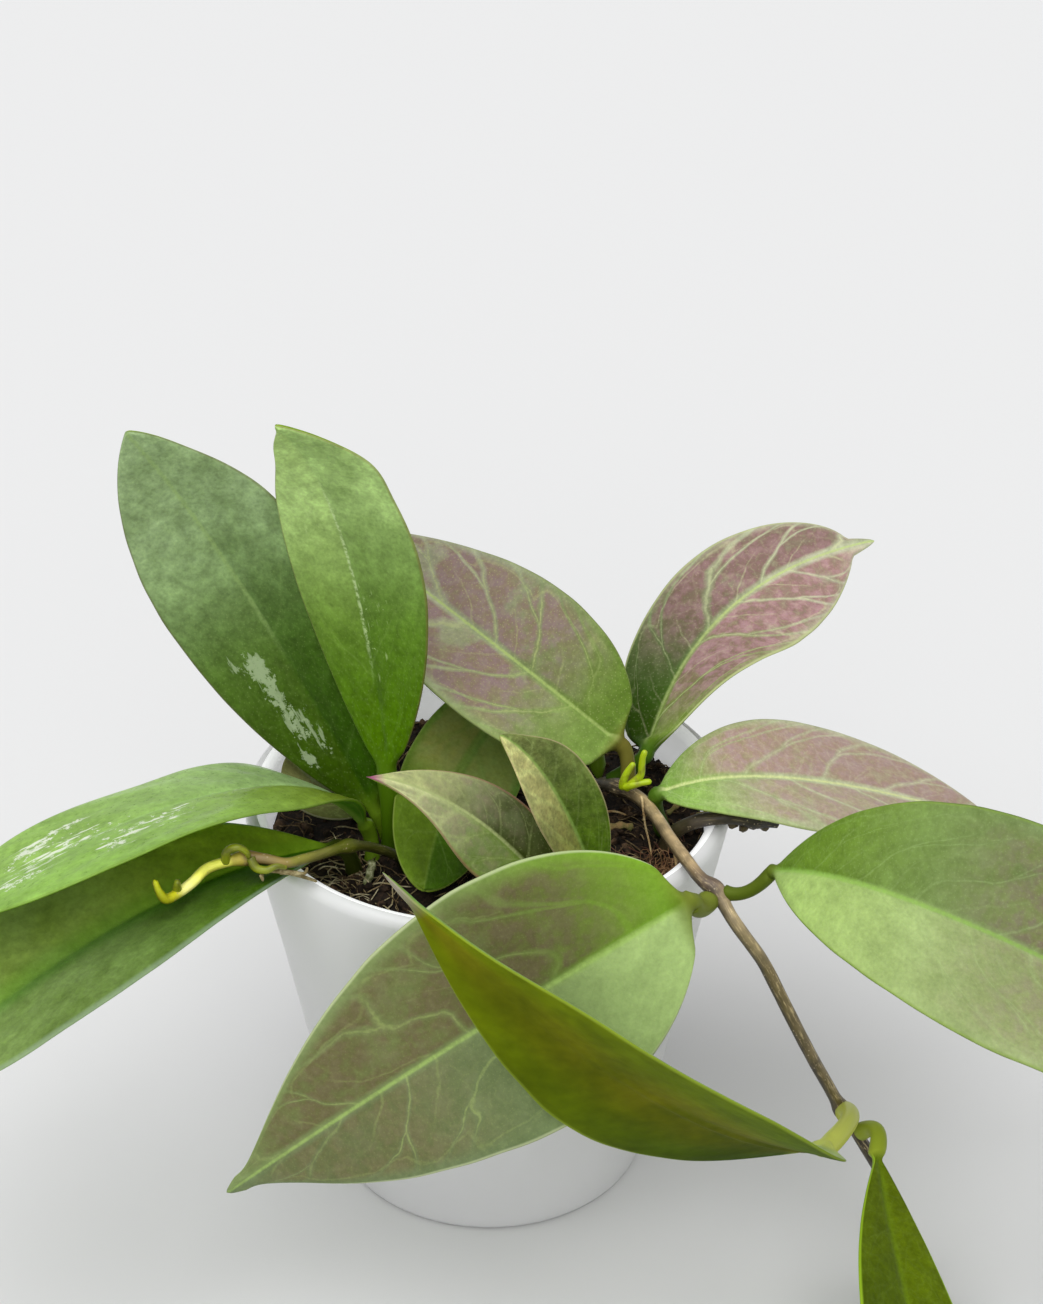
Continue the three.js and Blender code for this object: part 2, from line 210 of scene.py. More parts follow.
def tube(bm, stops, step, sides, radiusAt, mark=None, paintedLightSide=None):  # a closed round skin along a route
    route, length = smoothRoute(stops, step)
    frames, side = [], route[0][1].orthogonal().normalized()
    for point, heading in route:
        side = (side - heading * side.dot(heading)).normalized()
        frames.append((point, side, heading.cross(side)))
    rows = len(route) - 1

    def shape(vert, a, b):
        row = round(b * rows)
        point, side, up = frames[row]
        angle = 2 * math.pi * a
        radius = 0 if row in (0, rows) else radiusAt(row / rows * length, length, angle)
        vert.co = (point + side * (radius * math.cos(angle)) + up * (radius * math.sin(angle))) * mm
        if mark:
            vert[mark] = Vector((radius * math.cos(angle), radius * math.sin(angle), row / rows * length))
            # how far this side faces lightFrom, kept for the stems' painted highlight and shade
            vert[paintedLightSide] = (side * math.cos(angle) + up * math.sin(angle)).dot(lightFrom)

    rolled(bm, sides, rows, shape)


def settle(bm, name, skins, node=None):  # the finished piece, in place on the pot's own body
    bmesh.ops.recalc_face_normals(bm, faces=bm.faces)
    mesh = bpy.data.meshes.new(name)
    bm.to_mesh(mesh)
    bm.free()
    for skin in skins:
        mesh.materials.append(skin)
    piece = bpy.data.objects.new(name, mesh)
    bpy.context.scene.collection.objects.link(piece)
    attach(piece, "root")
    if node:
        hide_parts(node)
    return piece


def strands(name, routes, step, sides, radiusAt, skin, node=None):  # one piece of tubes along the routes
    bm = bmesh.new()
    for route in routes:
        tube(bm, route, step, sides, radiusAt)
    settle(bm, name, [skin, skin], node)


def tapered(radius, start, end):  # a radius that goes from one share of itself to another
    return lambda run, length, angle: radius * between(start, end, run / length)


# Leaves: thick waxy blades on round stalks. A vertex keeps its place on the leaf, in millimetres across
# and along, and as a share of the half width, so that veins and blotches follow the blade.
leafBuild = {
    "across": 92,
    "stalkRows": 14,
    "bladeRows": 96,
    "thickness": 1.0,
    "marginThickness": 0.7,
    "stalk": 1.35,
    "gather": 0.6,
    "keel": 0.55,
    "groove": 0.3,
    "puff": 0.22,
}


def bladeShare(t, leaf):  # half width at t along the midrib, 1 at the widest place
    rise, fall, drip = leaf["rise"], leaf["fall"], leaf.get("drip", 0)
    body = min(1.0, t / (1 - drip))
    widest = rise / (rise + fall)
    share = body ** rise * (1 - body) ** fall / (widest ** rise * (1 - widest) ** fall)
    tail = 0
    if drip:
        tail = leaf["dripWidth"] / leaf["width"] * min(1, (1 - t) / drip) ** 0.7 * ease(t, 0.5, 0.8)
    return math.hypot(share, tail)


def growLeaf(leaf, skins, seed):
    build = leafBuild
    foot, base, middle, tip, face = [Vector(leaf[key]) for key in ("foot", "base", "middle", "tip", "face")]
    control = 2 * middle - (base + tip) / 2
    chord = [bow(base, control, tip, k / 20)[0] for k in range(21)]
    length = sum((q - p).length for p, q in zip(chord, chord[1:]))
    leaving = bow(base, control, tip, 0)[1]
    if foot.z == soil["level"]:  # rooted in the soil, so a little deeper
        foot.z -= 1.5
    stalkBend = base - leaving * leaf.get("bend", 0.5) * (foot - base).length
    if "knee" in leaf:
        stalkBend = Vector(leaf["knee"])
    baseSide = face.cross(leaving).normalized()
    veins, look = leaf["veins"], leaf["look"]
    stalkRadius = leaf.get("stalk", build["stalk"])
    rows = build["stalkRows"] + build["bladeRows"]
    bm = bmesh.new()
    placeLayer = bm.verts.layers.float_vector.new("leafPlace")
    veinLayer = bm.verts.layers.float_vector.new("leafVeins")
    tintLayer = bm.verts.layers.float_vector.new("leafTint")

    def frameAt(row):  # centre, side, up, half width, flatness and place on the blade of one row
        if row < build["stalkRows"]:
            share = row / build["stalkRows"]
            centre, heading = bow(foot, stalkBend, base, share)
            side = (baseSide - heading * baseSide.dot(heading)).normalized()
            swell = 1 + 0.22 * math.exp(-(share / 0.22) ** 2) + 0.12 * math.exp(-((share - 1) / 0.25) ** 2)
            return centre, side, heading.cross(side), stalkRadius * swell * (0 if row == 0 else 1), 0, 0
        t = (1 - math.cos(math.pi * (row - build["stalkRows"]) / build["bladeRows"])) / 2
        centre, heading = bow(base, control, tip, t)
        side = face.cross(heading).normalized()
        flat = ease(t, 0, min(0.08, 3.6 / length))
        half = between(stalkRadius * 1.12, leaf["width"] / 2 * bladeShare(t, leaf), flat)
        return centre, side, heading.cross(side), half, flat, t

    frames = [frameAt(row) for row in range(rows + 1)]

    def shape(vert, a, b):
        row = round(b * rows)
        centre, side, up, half, flat, t = frames[row]
        upper = 1 if a <= 0.5 else -1
        even = 1 - 4 * a if a <= 0.5 else 4 * a - 3
        s = even - build["gather"] * math.sin(2 * math.pi * even) / (2 * math.pi)
        hand = (s > 0) - (s < 0)
        wide = 1 + leaf.get("skew", 0) * hand
        for bulge in leaf.get("bulges", []):
            if bulge["hand"] == hand:
                wide += bulge["by"] * math.exp(-((t - bulge["at"]) / bulge["reach"]) ** 2)
        wide += 0.012 * noise.noise(Vector((t * length * 0.13, hand * 9, seed))) * ease(t, 0.1, 0.3)
        u = s * half * between(1, wide, flat)
        v = t * length
        slope = veins["slope"] * abs(u) + veins["sweep"] * abs(s) ** 4
        wobble = Vector((abs(u) * 0.09, v * 0.05, seed * 3.1))
        phases = [
            (v - slope) / veins["apart"] + 0.5 * (k == 1) + 0.55 * noise.noise(wobble + Vector((0, 0, 7 * k)))
            for k in (0, 1)
        ]
        phase = phases[0] if s > 0 else phases[1]
        ripple = abs(phase - round(phase)) * 2
        thick = between(build["thickness"], build["marginThickness"], s * s) * (1 - abs(s) ** 24) ** 0.5
        thick = min(thick, half * 1.2)
        fold = math.radians(leaf["fold"]) * flat
        bodyWidth = math.sqrt(u * u + 1.2) - math.sqrt(1.2)
        lift = bodyWidth * math.sin(fold)
        wave = noise.noise(Vector((v * 0.045, hand * 3, seed * 1.7)))
        lift += leaf.get("wave", 0.8) * wave * s * s * flat * ease(1 - t, 0, 0.15)
        puff = ease(abs(s), 0.02, 0.3) * ease(1 - abs(s), 0.02, 0.3) * flat
        lift += build["puff"] * leaf.get("puff", 1) * ripple * puff
        ridge = math.exp(-(u / 0.85) ** 2)
        if upper > 0:
            lift += thick / 2 - build["groove"] * ridge * ease(1 - t, 0, 0.6)
        else:
            lift -= thick / 2 + build["keel"] * math.exp(-(u / 1.1) ** 2) * ease(1 - t, 0, 0.8)
        angle = 2 * math.pi * a
        x = between(half * math.cos(angle), u * math.cos(fold), flat)
        z = between(half * math.sin(angle), lift, flat)
        vert.co = (centre + side * x + up * z) * mm
        if row == rows:
            vert.co = centre * mm
        vert[placeLayer] = Vector((u, v, s))
        vert[veinLayer] = Vector((phases[0], phases[1], ripple))
        patch = look["blotchLeft"] if s > 0 else look["blotchRight"]
        patch = between((look["blotchLeft"] + look["blotchRight"]) / 2, patch, ease(abs(u), 0, 2))
        start = look.get("blotchFromLeft", look["blotchFrom"]) if s > 0 else look["blotchFrom"]
        patch *= ease(t, start - 0.16, start + 0.16)
        patch *= 1 - ease(t, look["blotchTo"] - 0.1, look["blotchTo"] + 0.06)
        patch *= 1 - look["blotchEdge"] * ease(abs(s), 0.8, 0.98)
        glaze = 0.0
        for splash in leaf.get("splashes", []):
            run = (t - splash["at"][0]) / splash["reach"][0]
            off = (s - splash["at"][1]) / splash["reach"][1]
            glaze = max(glaze, splash["by"] * math.exp(-run * run - off * off))
        vert[tintLayer] = Vector((patch, 1 - ease(t, 0.004, look["stalkRun"]) * flat ** 0.2, glaze))

    rolled(bm, build["across"], rows, shape)
    node = leaf.get("node")
    return settle(bm, node[5:] + "Leaf" if node else leaf["name"], skins, node)


# Waxy leaf tissue: smooth and satin, so wide soft highlights lie over the colour. Pale veins leave the
# midrib, fork into loops near the margin and meet in a fine net. Purple brown stays between them.
leafLook = {
    "base": "#3f7d1d", "tip": "#5c8f3f", "blotch": "#6a4a48", "blotchTwo": "#7a5560", "blotchLeft": 0.0,
    "blotchRight": 0.0, "blotchFrom": 0.15, "blotchTo": 1.1, "blotchEdge": 0.9, "vein": "#a9c274",
    "veinAmount": 0.5, "netAmount": 0.1, "midrib": "#b9d47a", "midribWidth": (0.8, 0.3), "midribAmount": 0.8,
    "midribGaps": 0.3, "midribRange": (-1, 2), "veinFrom": -1, "marginAndGlint": "#8a9a4a", "marginAndGlintAmount": 0.5,
    "marginWidth": 0.02, "stalkColour": "#5d7a16", "stalkRun": 0.05, "silver": "#c3cdb4", "streaks": 0.0,
    "bloomAndSheen": 0.1, "bloomAndSheenFrom": 0.15, "bloomAndSheenColour": "#a8b8a0", "mottle": 0.2, "paintedShade": (0.0, 0.0), "paintedShadeTo": 0.6,
    "specks": 0.12, "tipTone": "#b0568c", "tipAmount": 0.0, "leftPaintedShade": 1.0, "veinClear": 0.35,
    "patchy": (0.34, 0.48, 0.3), "groundRange": (0.05, 0.85), "gloss": 0.25, "roughness": 0.4,
}


def waxySkin(name, gloss):
    return newSkin(
        name, IOR=1.45, Specular_IOR_Level=gloss, Specular_Tint=(0.85, 1.0, 0.35, 1), Subsurface_Weight=0.06,
        Subsurface_Radius=(0.6, 1.0, 0.2), Subsurface_Scale=0.7 * mm)


def readLeaf(add):  # what a leaf's vertices carry, and what both its skins draw from that
    place, marks, tints = [
        add("Attribute", out=1, attribute_name=layer) for layer in ("leafPlace", "leafVeins", "leafTint")
    ]
    u, v, s = add("SeparateXYZ", {0: place}).node.outputs
    leftPhase, rightPhase, _ = add("SeparateXYZ", {0: marks}).node.outputs
    away, offRib = [add("Math", {0: offset}, **absolute) for offset in (s, u)]
    left = add("Math", {0: s, 1: 0.0}, operation="GREATER_THAN")
    phase = add("Mix", {0: left, 2: rightPhase, 3: leftPhase})
    return place, v, s, away, offRib, left, phase, add("SeparateXYZ", {0: tints}).node.outputs


def leafSkin(name, look, veins, length, seed):
    satin = look["roughness"]
    skin, add, shader = waxySkin(name, look["gloss"])
    place, v, s, away, offRib, left, phase, (blotchShare, stalkShare, glaze) = readLeaf(add)
    t = add("Math", {0: v, 1: length}, operation="DIVIDE")
    clouds, grain, cells, flakes = [
        add("TexNoise", {"Vector": place, "W": seed + k, "Scale": size, "Detail": detail, "Roughness": rough}, **seeded)
        for k, size, detail, rough in ((2, 0.1, 4, 0.6), (5, 1.3, 4, 0.65), (6, 0.4, 3, 0.6), (8, 0.75, 6, 0.75))
    ]

    # Side veins that fork past the middle of each half, loops that join them, weaker ones between, and a net
    wobble = add("TexNoise", {"Vector": place, "W": seed, "Scale": 0.22}, **seeded)
    phase = add("Math", {0: wobble, 1: 0.2, 2: phase}, **timesPlus)
    nearest = add("Math", {0: phase, 1: 0.5}, operation="PINGPONG")
    outer = add("MapRange", {0: away, 1: 0.48, 4: 0.3})
    forked = add("Math", {0: add("Math", {0: nearest, 1: outer}, **minus)}, **absolute)
    distance = add("Math", {0: forked, 1: veins["apart"] * 0.75}, **times)
    width = add("MapRange", {0: away, 2: 0.85, 3: 0.46, 4: 0.26})
    side = add("MapRange", {0: distance, 1: width, 2: 0.05}, **smooth)
    number = add("Math", {0: add("Math", {0: phase}, operation="ROUND"), 1: left})
    number = add("Math", {0: number, 1: seed + 0.37})
    luck = add("MapRange", {0: add("TexWhiteNoise", {"W": number}, noise_dimensions="1D"), 3: 0.45})
    reach = add("MapRange", {0: away, 1: 0.6, 2: 0.9, 3: 1.0, 4: 0.1}, **smooth)
    side = add("Math", {0: side, 1: add("Math", {0: luck, 1: reach}, **times)}, **times)
    swing = add("Math", {0: add("Math", {0: nearest, 1: math.pi}, **times)}, operation="SINE")
    arch = add("Math", {0: swing, 1: 0.18, 2: 0.62}, **timesPlus)
    arch = add("Math", {0: wobble, 1: 0.16, 2: arch}, **timesPlus)
    arch = add("Math", {0: add("Math", {0: away, 1: arch}, **minus)}, **absolute)
    loop = add("MapRange", {0: arch, 1: 0.03, 2: 0.004, 4: 0.4}, **smooth)
    weak = add("MapRange", {0: nearest, 1: 0.465, 2: 0.497, 4: 0.45}, **smooth)
    weak = add("Math", {0: weak, 1: add("MapRange", {0: away, 1: 0.3, 2: 0.6, 3: 1.0, 4: 0.0})}, **times)
    lines = add("Math", {0: side, 1: add("Math", {0: loop, 1: weak}, **greater)}, **greater)
    lines = add("Math", {0: lines, 1: look["veinAmount"]}, **times)
    warp = add("TexNoise", {"Vector": place, "W": seed, "Scale": 0.4}, out=1, **seeded)
    warp = add("VectorMath", {0: warp, 1: (3.0, 3.0, 0.0), 2: place}, **timesPlus)
    net = add("TexVoronoi", {"Vector": warp, "Scale": 0.3}, feature="DISTANCE_TO_EDGE", voronoi_dimensions="2D")
    net = add("MapRange", {0: net, 1: 0.13, 2: 0.0, 4: look["netAmount"]}, **smooth)
    lines = add("Math", {0: lines, 1: net}, **greater)
    shown = add("MapRange", {0: t, 1: look["veinFrom"], 2: look["veinFrom"] + 0.15}, **smooth)
    worn = add("MapRange", {0: grain, 1: 0.35, 2: 0.6, 3: 0.45}, **smooth)
    for share in (shown, worn):
        lines = add("Math", {0: lines, 1: share}, **times)
    ribWidth = add("MapRange", {0: t, 3: look["midribWidth"][0], 4: look["midribWidth"][1]})
    rib = add("Math", {0: offRib, 1: ribWidth}, operation="DIVIDE")
    rib = add("MapRange", {0: rib, 1: 1.25, 2: 0.2, 4: look["midribAmount"]}, **smooth)
    ribShares = [add("MapRange", {0: grain, 1: 0.44, 2: 0.56, 3: 1 - look["midribGaps"]}, **smooth)]
    for edge, step in zip(look["midribRange"], (0.08, -0.08)):
        ribShares.append(add("MapRange", {0: t, 1: edge - step, 2: edge + step}, **smooth))
    for share in ribShares:
        rib = add("Math", {0: rib, 1: share}, **times)

    # Ground colour with soft streaks that run with the side veins, then blotches that keep clear of the veins
    along = add("MapRange", {0: t, 1: look["groundRange"][0], 2: look["groundRange"][1]}, **smooth)
    half = add("MapRange", {0: s, 1: -0.05, 2: 0.07}, **smooth)
    grounds = [
        add("Mix", {0: along, 6: linear(look.get(low, look["base"])), 7: linear(look.get(high, look["tip"]))}, **blend)
        for low, high in (("base", "tip"), ("leftBase", "leftTip"))
    ]
    # A pale bloom of the wax, partly a painted sheen, grows along the blade and varies with the clouds
    bloomAndSheen = add("MapRange", {0: t, 1: look["bloomAndSheenFrom"], 2: look["bloomAndSheenFrom"] + 0.45, 4: look["bloomAndSheen"]}, **smooth)
    bloomAndSheen = add("Math", {0: bloomAndSheen, 1: add("MapRange", {0: clouds, 1: 0.35, 2: 0.6, 3: 0.75, 4: 1.15})}, **times)
    colour = layered(add, grounds[0], ((half, grounds[1]), (bloomAndSheen, look["bloomAndSheenColour"])))
    run = add("CombineXYZ", {0: add("Math", {0: phase, 1: veins["apart"]}, **times), 1: away, 2: seed})
    streaks = add("TexNoise", {"Vector": add("Mapping", {0: run, 3: (0.3, 3.0, 1.0)}), "Scale": 1.0})
    colour = varied(add, colour, [
        (source, 1 - deep * look["mottle"], 1 + deep * look["mottle"])
        for source, deep in ((streaks, 0.35), (clouds, 0.9), (cells, 0.8), (grain, 0.8))
    ])
    low, high, least = look["patchy"]
    patch = blotchShare
    for share in (
        add("MapRange", {0: clouds, 1: low, 2: high, 3: least}, **smooth),
        add("MapRange", {0: distance, 1: 0.15, 2: 1.1, 3: look["veinClear"]}, **smooth),
        add("MapRange", {0: offRib, 1: 0.4, 2: 1.5, 3: look["veinClear"] * 0.5}, **smooth),
        add("MapRange", {0: cells, 1: 0.3, 2: 0.55, 3: 0.7, 4: 1.1}),
    ):
        patch = add("Math", {0: patch, 1: share}, **times)
    stain = add("MapRange", {0: cells, 1: 0.36, 2: 0.64}, **smooth)
    stain = add("Mix", {0: stain, 6: linear(look["blotch"]), 7: linear(look["blotchTwo"])}, **blend)
    # the stain on the left half is painted darker as painted shade, or lighter as painted light where the factor passes
    # 1
    stain = varied(add, stain, ((grain, 0.88, 1.12), (half, 1.0, look["leftPaintedShade"])))

    # Painted shade: the half that turns from the light is painted darker toward the stalk; tiny pale pores lie all over
    paintedShade = add("Mix", {0: half, 2: look["paintedShade"][1], 3: look["paintedShade"][0]})
    fade = add("MapRange", {0: t, 1: 0.08, 2: look["paintedShadeTo"], 3: 1.0, 4: 0.0}, **smooth)
    paintedShade = add("Math", {0: paintedShade, 1: fade}, **times)
    pores = add("TexVoronoi", {"Vector": place, "Scale": 1.1}, voronoi_dimensions="2D")
    pores = add("MapRange", {0: pores, 1: 0.18, 2: 0.08, 4: look["specks"]})
    pores = add("Math", {0: pores, 1: worn}, **times)

    # Silver splashes, the thin margin in its own colour and partly a painted glint, the flushed tip and the stalk
    level = add("Math", {0: flakes, 1: 1.5, 2: glaze}, **timesPlus)
    silver = add("MapRange", {0: level, 1: 1.26, 2: 1.32, 4: 0.85})
    if look["streaks"]:
        lean = add("Mapping", {0: place, 3: (1.5, 0.32, 0.0)})
        streak = add("TexNoise", {"Vector": lean, "W": seed + 9, "Scale": 0.8, "Detail": 4.0}, **seeded)
        level = add("Math", {0: streak, 1: 1.5, 2: glaze}, **timesPlus)
        flecks = add("MapRange", {0: level, 1: 1.28, 2: 1.36, 4: look["streaks"]})
        silver = add("Math", {0: silver, 1: flecks}, **greater)
    edge = look["marginWidth"]
    rimAndGlint = add("MapRange", {0: away, 1: 1 - 2 * edge, 2: 1 - 0.6 * edge, 4: look["marginAndGlintAmount"]}, **smooth)
    flush = add("MapRange", {0: t, 1: 0.92, 2: 0.98, 4: look["tipAmount"]})
    colour = layered(add, colour, (
        # painted shade is a near black laid over the colour
        (patch, stain), (lines, look["vein"]), (rib, look["midrib"]), (paintedShade, (0.02, 0.03, 0.0, 1)),
        (pores, look["vein"]), (silver, look["silver"]), (rimAndGlint, look["marginAndGlint"]), (flush, look["tipTone"]),
        (stalkShare, look["stalkColour"]),
    ))
    sunk = add("Math", {0: grain, 1: 0.04}, **times)
    for source, deep in ((cells, 0.25), (lines, -0.12)):
        sunk = add("Math", {0: source, 1: deep, 2: sunk}, **timesPlus)
    plug(shader, {
        "Base Color": colour,
        "Roughness": add("MapRange", {0: grain, 1: 0.3, 2: 0.7, 3: satin - 0.05, 4: satin + 0.08}),
        "Normal": add("Bump", {"Strength": 0.8, "Distance": mm, "Height": sunk}),
    })
    return skin


# Underside of a leaf: plainer and yellower, with the veins only as a faint lighter net
underLook = {
    "base": "#6b8a22", "tip": "#5f7c1e", "band": "#7a5a22", "bandAmount": 0.0, "rimAndGlint": "#9fbf2f", "rimAndGlintAmount": 0.3,
    "vein": "#93ad4a", "veinAmount": 0.25, "ribAmount": 0.4, "leftPaintedLight": 1.0, "tipTone": "#a39a90",
    "tipAmount": 0.0, "gloss": 0.2, "roughness": 0.42,
}


def underSkin(name, look, length, stalkColour, seed):
    satin = look["roughness"]
    skin, add, shader = waxySkin(name, look["gloss"])
    place, v, s, away, offRib, _, phase, tints = readLeaf(add)
    clouds, grain, cells = [
        add("TexNoise", {"Vector": place, "W": seed + k, "Scale": size, "Detail": detail, "Roughness": rough}, **seeded)
        for k, size, detail, rough in ((0, 0.07, 3, 0.5), (5, 1.2, 4, 0.7), (6, 0.35, 3, 0.5))
    ]
    t = add("MapRange", {0: v, 1: 0.1 * length, 2: 0.9 * length})
    middle = add("MapRange", {0: away, 1: 0.1, 2: 0.75, 3: look["bandAmount"], 4: 0.0}, **smooth)
    middle = add("Math", {0: middle, 1: add("MapRange", {0: clouds, 1: 0.3, 2: 0.6, 3: 0.4})}, **times)
    colour = layered(add, linear(look["base"]), ((t, look["tip"]), (middle, look["band"])))
    colour = varied(add, colour, ((clouds, 0.75, 1.25), (cells, 0.85, 1.15)))
    # Painted light: the left half of the underside is painted lighter
    lift = add("MapRange", {0: s, 1: -0.2, 2: 0.3, 3: 1.0, 4: look["leftPaintedLight"]})
    colour = add("Mix", {0: 1.0, 6: colour, 7: lift}, **darken)
    distance = add("Math", {0: phase, 1: 0.5}, operation="PINGPONG")
    lines = add("MapRange", {0: distance, 1: 0.09, 2: 0.0, 4: look["veinAmount"]}, **smooth)
    rib = add("MapRange", {0: offRib, 1: 1.6, 2: 0.5, 4: look["ribAmount"]}, **smooth)
    # the rim colour is partly the edge's own colour and partly a painted glint along it
    rimAndGlint = add("MapRange", {0: away, 1: 0.93, 2: 0.985, 4: look["rimAndGlintAmount"]}, **smooth)
    dry = add("MapRange", {0: v, 1: 0.93 * length, 2: 0.98 * length, 4: look["tipAmount"]})
    colour = layered(add, colour, (
        (add("Math", {0: lines, 1: rib}, **greater), look["vein"]), (rimAndGlint, look["rimAndGlint"]), (dry, look["tipTone"]),
        (tints[1], stalkColour),
    ))
    plug(shader, {
        "Base Color": colour,
        "Roughness": add("MapRange", {0: grain, 1: 0.3, 2: 0.7, 3: satin - 0.05, 4: satin + 0.06}),
        "Normal": add("Bump", {"Strength": 0.6, "Distance": 0.05 * mm, "Height": grain}),
    })
    return skin


backLeft = {
    "node": "leaf_back_left", "slot": "leaf_silver", "foot": (-18.5, -3, 72), "base": (-20.5, -2, 76.5),
    "middle": (-45, 9.5, 120), "tip": (-63, 9.5, 149.5), "width": 34.5, "face": (-0.44, -0.67, 0.6), "rise": 0.79,
    "fall": 0.88, "fold": 11, "skew": -0.06, "veins": {"apart": 13, "slope": 1.1, "sweep": 5},
    "bulges": [{"hand": -1, "at": 0.9, "reach": 0.1, "by": -0.14}],
    "splashes": [
        {"at": (0.31, 0.37), "reach": (0.06, 0.16), "by": 0.74},
        {"at": (0.26, 0.4), "reach": (0.06, 0.18), "by": 0.64},
        {"at": (0.2, 0.42), "reach": (0.07, 0.22), "by": 0.6},
        {"at": (0.13, 0.64), "reach": (0.03, 0.22), "by": 0.68},
        {"at": (0.17, 0.22), "reach": (0.09, 0.22), "by": 0.54},
        {"at": (0.33, 0.6), "reach": (0.08, 0.12), "by": 0.5},
    ],
    "look": {
        # the dark colours near the stalk and paintedShade are painted shade from the leaves in front
        **leafLook, "base": "#335b05", "tip": "#6c8944", "leftBase": "#3c5c05", "leftTip": "#728d4d",
        "midrib": "#93ad6a", "midribWidth": (0.7, 0.5), "midribAmount": 0.6, "midribGaps": 0.4, "veinAmount": 0.08,
        "netAmount": 0.04, "marginAndGlint": "#5e5a35", "silver": "#a5b78e", "bloomAndSheen": 0.55, "bloomAndSheenFrom": 0.3,
        "bloomAndSheenColour": "#9eb38a", "roughness": 0.42, "mottle": 0.26, "paintedShade": (0.22, 0.26), "gloss": 0.12,
        "midribRange": (0.36, 2), "streaks": 0.7,
    },
}
uprightLeaf = {
    "node": "leaf_upright", "slot": "leaf_yellow_green", "foot": (-18, -6.5, 72), "base": (-18.3, -7, 88),
    "middle": (-25, 0.5, 132), "tip": (-35.5, -6.5, 158), "width": 27, "face": (-0.48, -0.77, 0.42), "rise": 0.75,
    "fall": 0.83, "fold": 6, "skew": -0.14, "stalk": 1.75, "veins": {"apart": 12, "slope": 1.3, "sweep": 5},
    "bulges": [
        {"hand": -1, "at": 0.8, "reach": 0.11, "by": 0.26}, {"hand": 1, "at": 0.84, "reach": 0.14, "by": -0.2},
        {"hand": 1, "at": 1, "reach": 0.07, "by": -0.5}, {"hand": -1, "at": 1, "reach": 0.05, "by": -0.3},
    ],
    "splashes": [
        {"at": (0.62, 0.45), "reach": (0.16, 0.4), "by": 0.44}, {"at": (0.3, -0.1), "reach": (0.2, 0.5), "by": 0.4},
    ],
    "look": {
        **leafLook, "base": "#4a7003", "tip": "#86a753", "leftBase": "#4c7203", "leftTip": "#9eb965",
        "midrib": "#c4d8a0", "midribWidth": (0.45, 0.3), "midribAmount": 0.75, "midribGaps": 0.85,
        "veinAmount": 0.1, "netAmount": 0.04, "marginAndGlint": "#7a6a40", "bloomAndSheen": 0.56, "bloomAndSheenFrom": 0.27,
        "bloomAndSheenColour": "#b5d289", "stalkColour": "#48690a", "roughness": 0.38, "midribRange": (0.24, 0.68),
        "mottle": 0.24, "gloss": 0.12, "streaks": 0.5, "silver": "#b8d08a",
    },
}
upperLeft = {
    "node": "leaf_upper_left", "slot": "leaf_green", "foot": (-21.5, -10.5, 72), "base": (-22.5, -8.5, 78.5),
    "middle": (-47, -21.5, 94), "tip": (-95.5, -46, 83.5), "width": 31, "face": (-0.07, 0.21, 0.98), "rise": 1.02,
    "fall": 0.55, "fold": 2, "wave": 1.6, "veins": {"apart": 14, "slope": 1.4, "sweep": 5},
    "bulges": [{"hand": 1, "at": 0.72, "reach": 0.2, "by": 0.1}],
    "splashes": [
        {"at": (0.83, -0.41), "reach": (0.07, 0.22), "by": 0.56},
        {"at": (0.77, -0.52), "reach": (0.06, 0.16), "by": 0.55},
        {"at": (0.73, 0.47), "reach": (0.04, 0.2), "by": 0.56},
        {"at": (0.87, 0.33), "reach": (0.07, 0.3), "by": 0.54},
        {"at": (0.66, 0.3), "reach": (0.16, 0.4), "by": 0.49}, {"at": (0.6, 0.14), "reach": (0.06, 0.1), "by": 0.5},
        {"at": (0.8, -0.1), "reach": (0.2, 0.5), "by": 0.46},
        {"at": (0.45, 0.05), "reach": (0.1, 0.12), "by": 0.46},
    ],
    "look": {
        # the right half's pale base colour is a painted sheen near the stalk, and paintedShade darkens the left half
        # there
        **leafLook, "leftBase": "#70801e", "base": "#90a878", "leftTip": "#85b140", "tip": "#8bb34b",
        "midrib": "#a9cf84", "midribAmount": 0.35, "veinAmount": 0.06, "netAmount": 0.03, "marginAndGlint": "#6f8a3a",
        "silver": "#e4ead8", "streaks": 0.9, "roughness": 0.3, "paintedShade": (0.55, 0.0), "paintedShadeTo": 0.32,
    },
    "under": {**underLook, "base": "#4f8418", "tip": "#4f8418"},
}
lowerLeft = {
    "node": "leaf_lower_left", "slot": "leaf_green", "foot": (-24.5, -13, 72), "base": (-27.5, -19.5, 81),
    "middle": (-62.5, -37.5, 78.5), "tip": (-103, -63, 59), "bend": 0.25, "width": 39.5, "face": (0.02, -0.1, 0.99),
    "rise": 1.04, "fall": 0.57, "fold": 17, "veins": {"apart": 15, "slope": 1.3, "sweep": 6},
    "look": {
        # the right half's pale base colour is painted light where the leaf lies in shade, and the pale margin colour is
        # a painted highlight
        **leafLook, "leftBase": "#385b05", "base": "#94b02a", "leftTip": "#5c7c15", "tip": "#7d9a1f",
        "midrib": "#3a7a02", "midribAmount": 0.45, "veinAmount": 0.06, "netAmount": 0.03, "marginAndGlint": "#a4b8a4",
        "bloomAndSheen": 0.32, "gloss": 0.12, "roughness": 0.33, "midribWidth": (4.5, 3.5), "midribGaps": 0.1,
        "bloomAndSheenFrom": 0.25, "bloomAndSheenColour": "#93a478", "marginAndGlintAmount": 0.35, "marginWidth": 0.05, "specks": 0.05,
        "stalkColour": "#343f0e",
    },
}
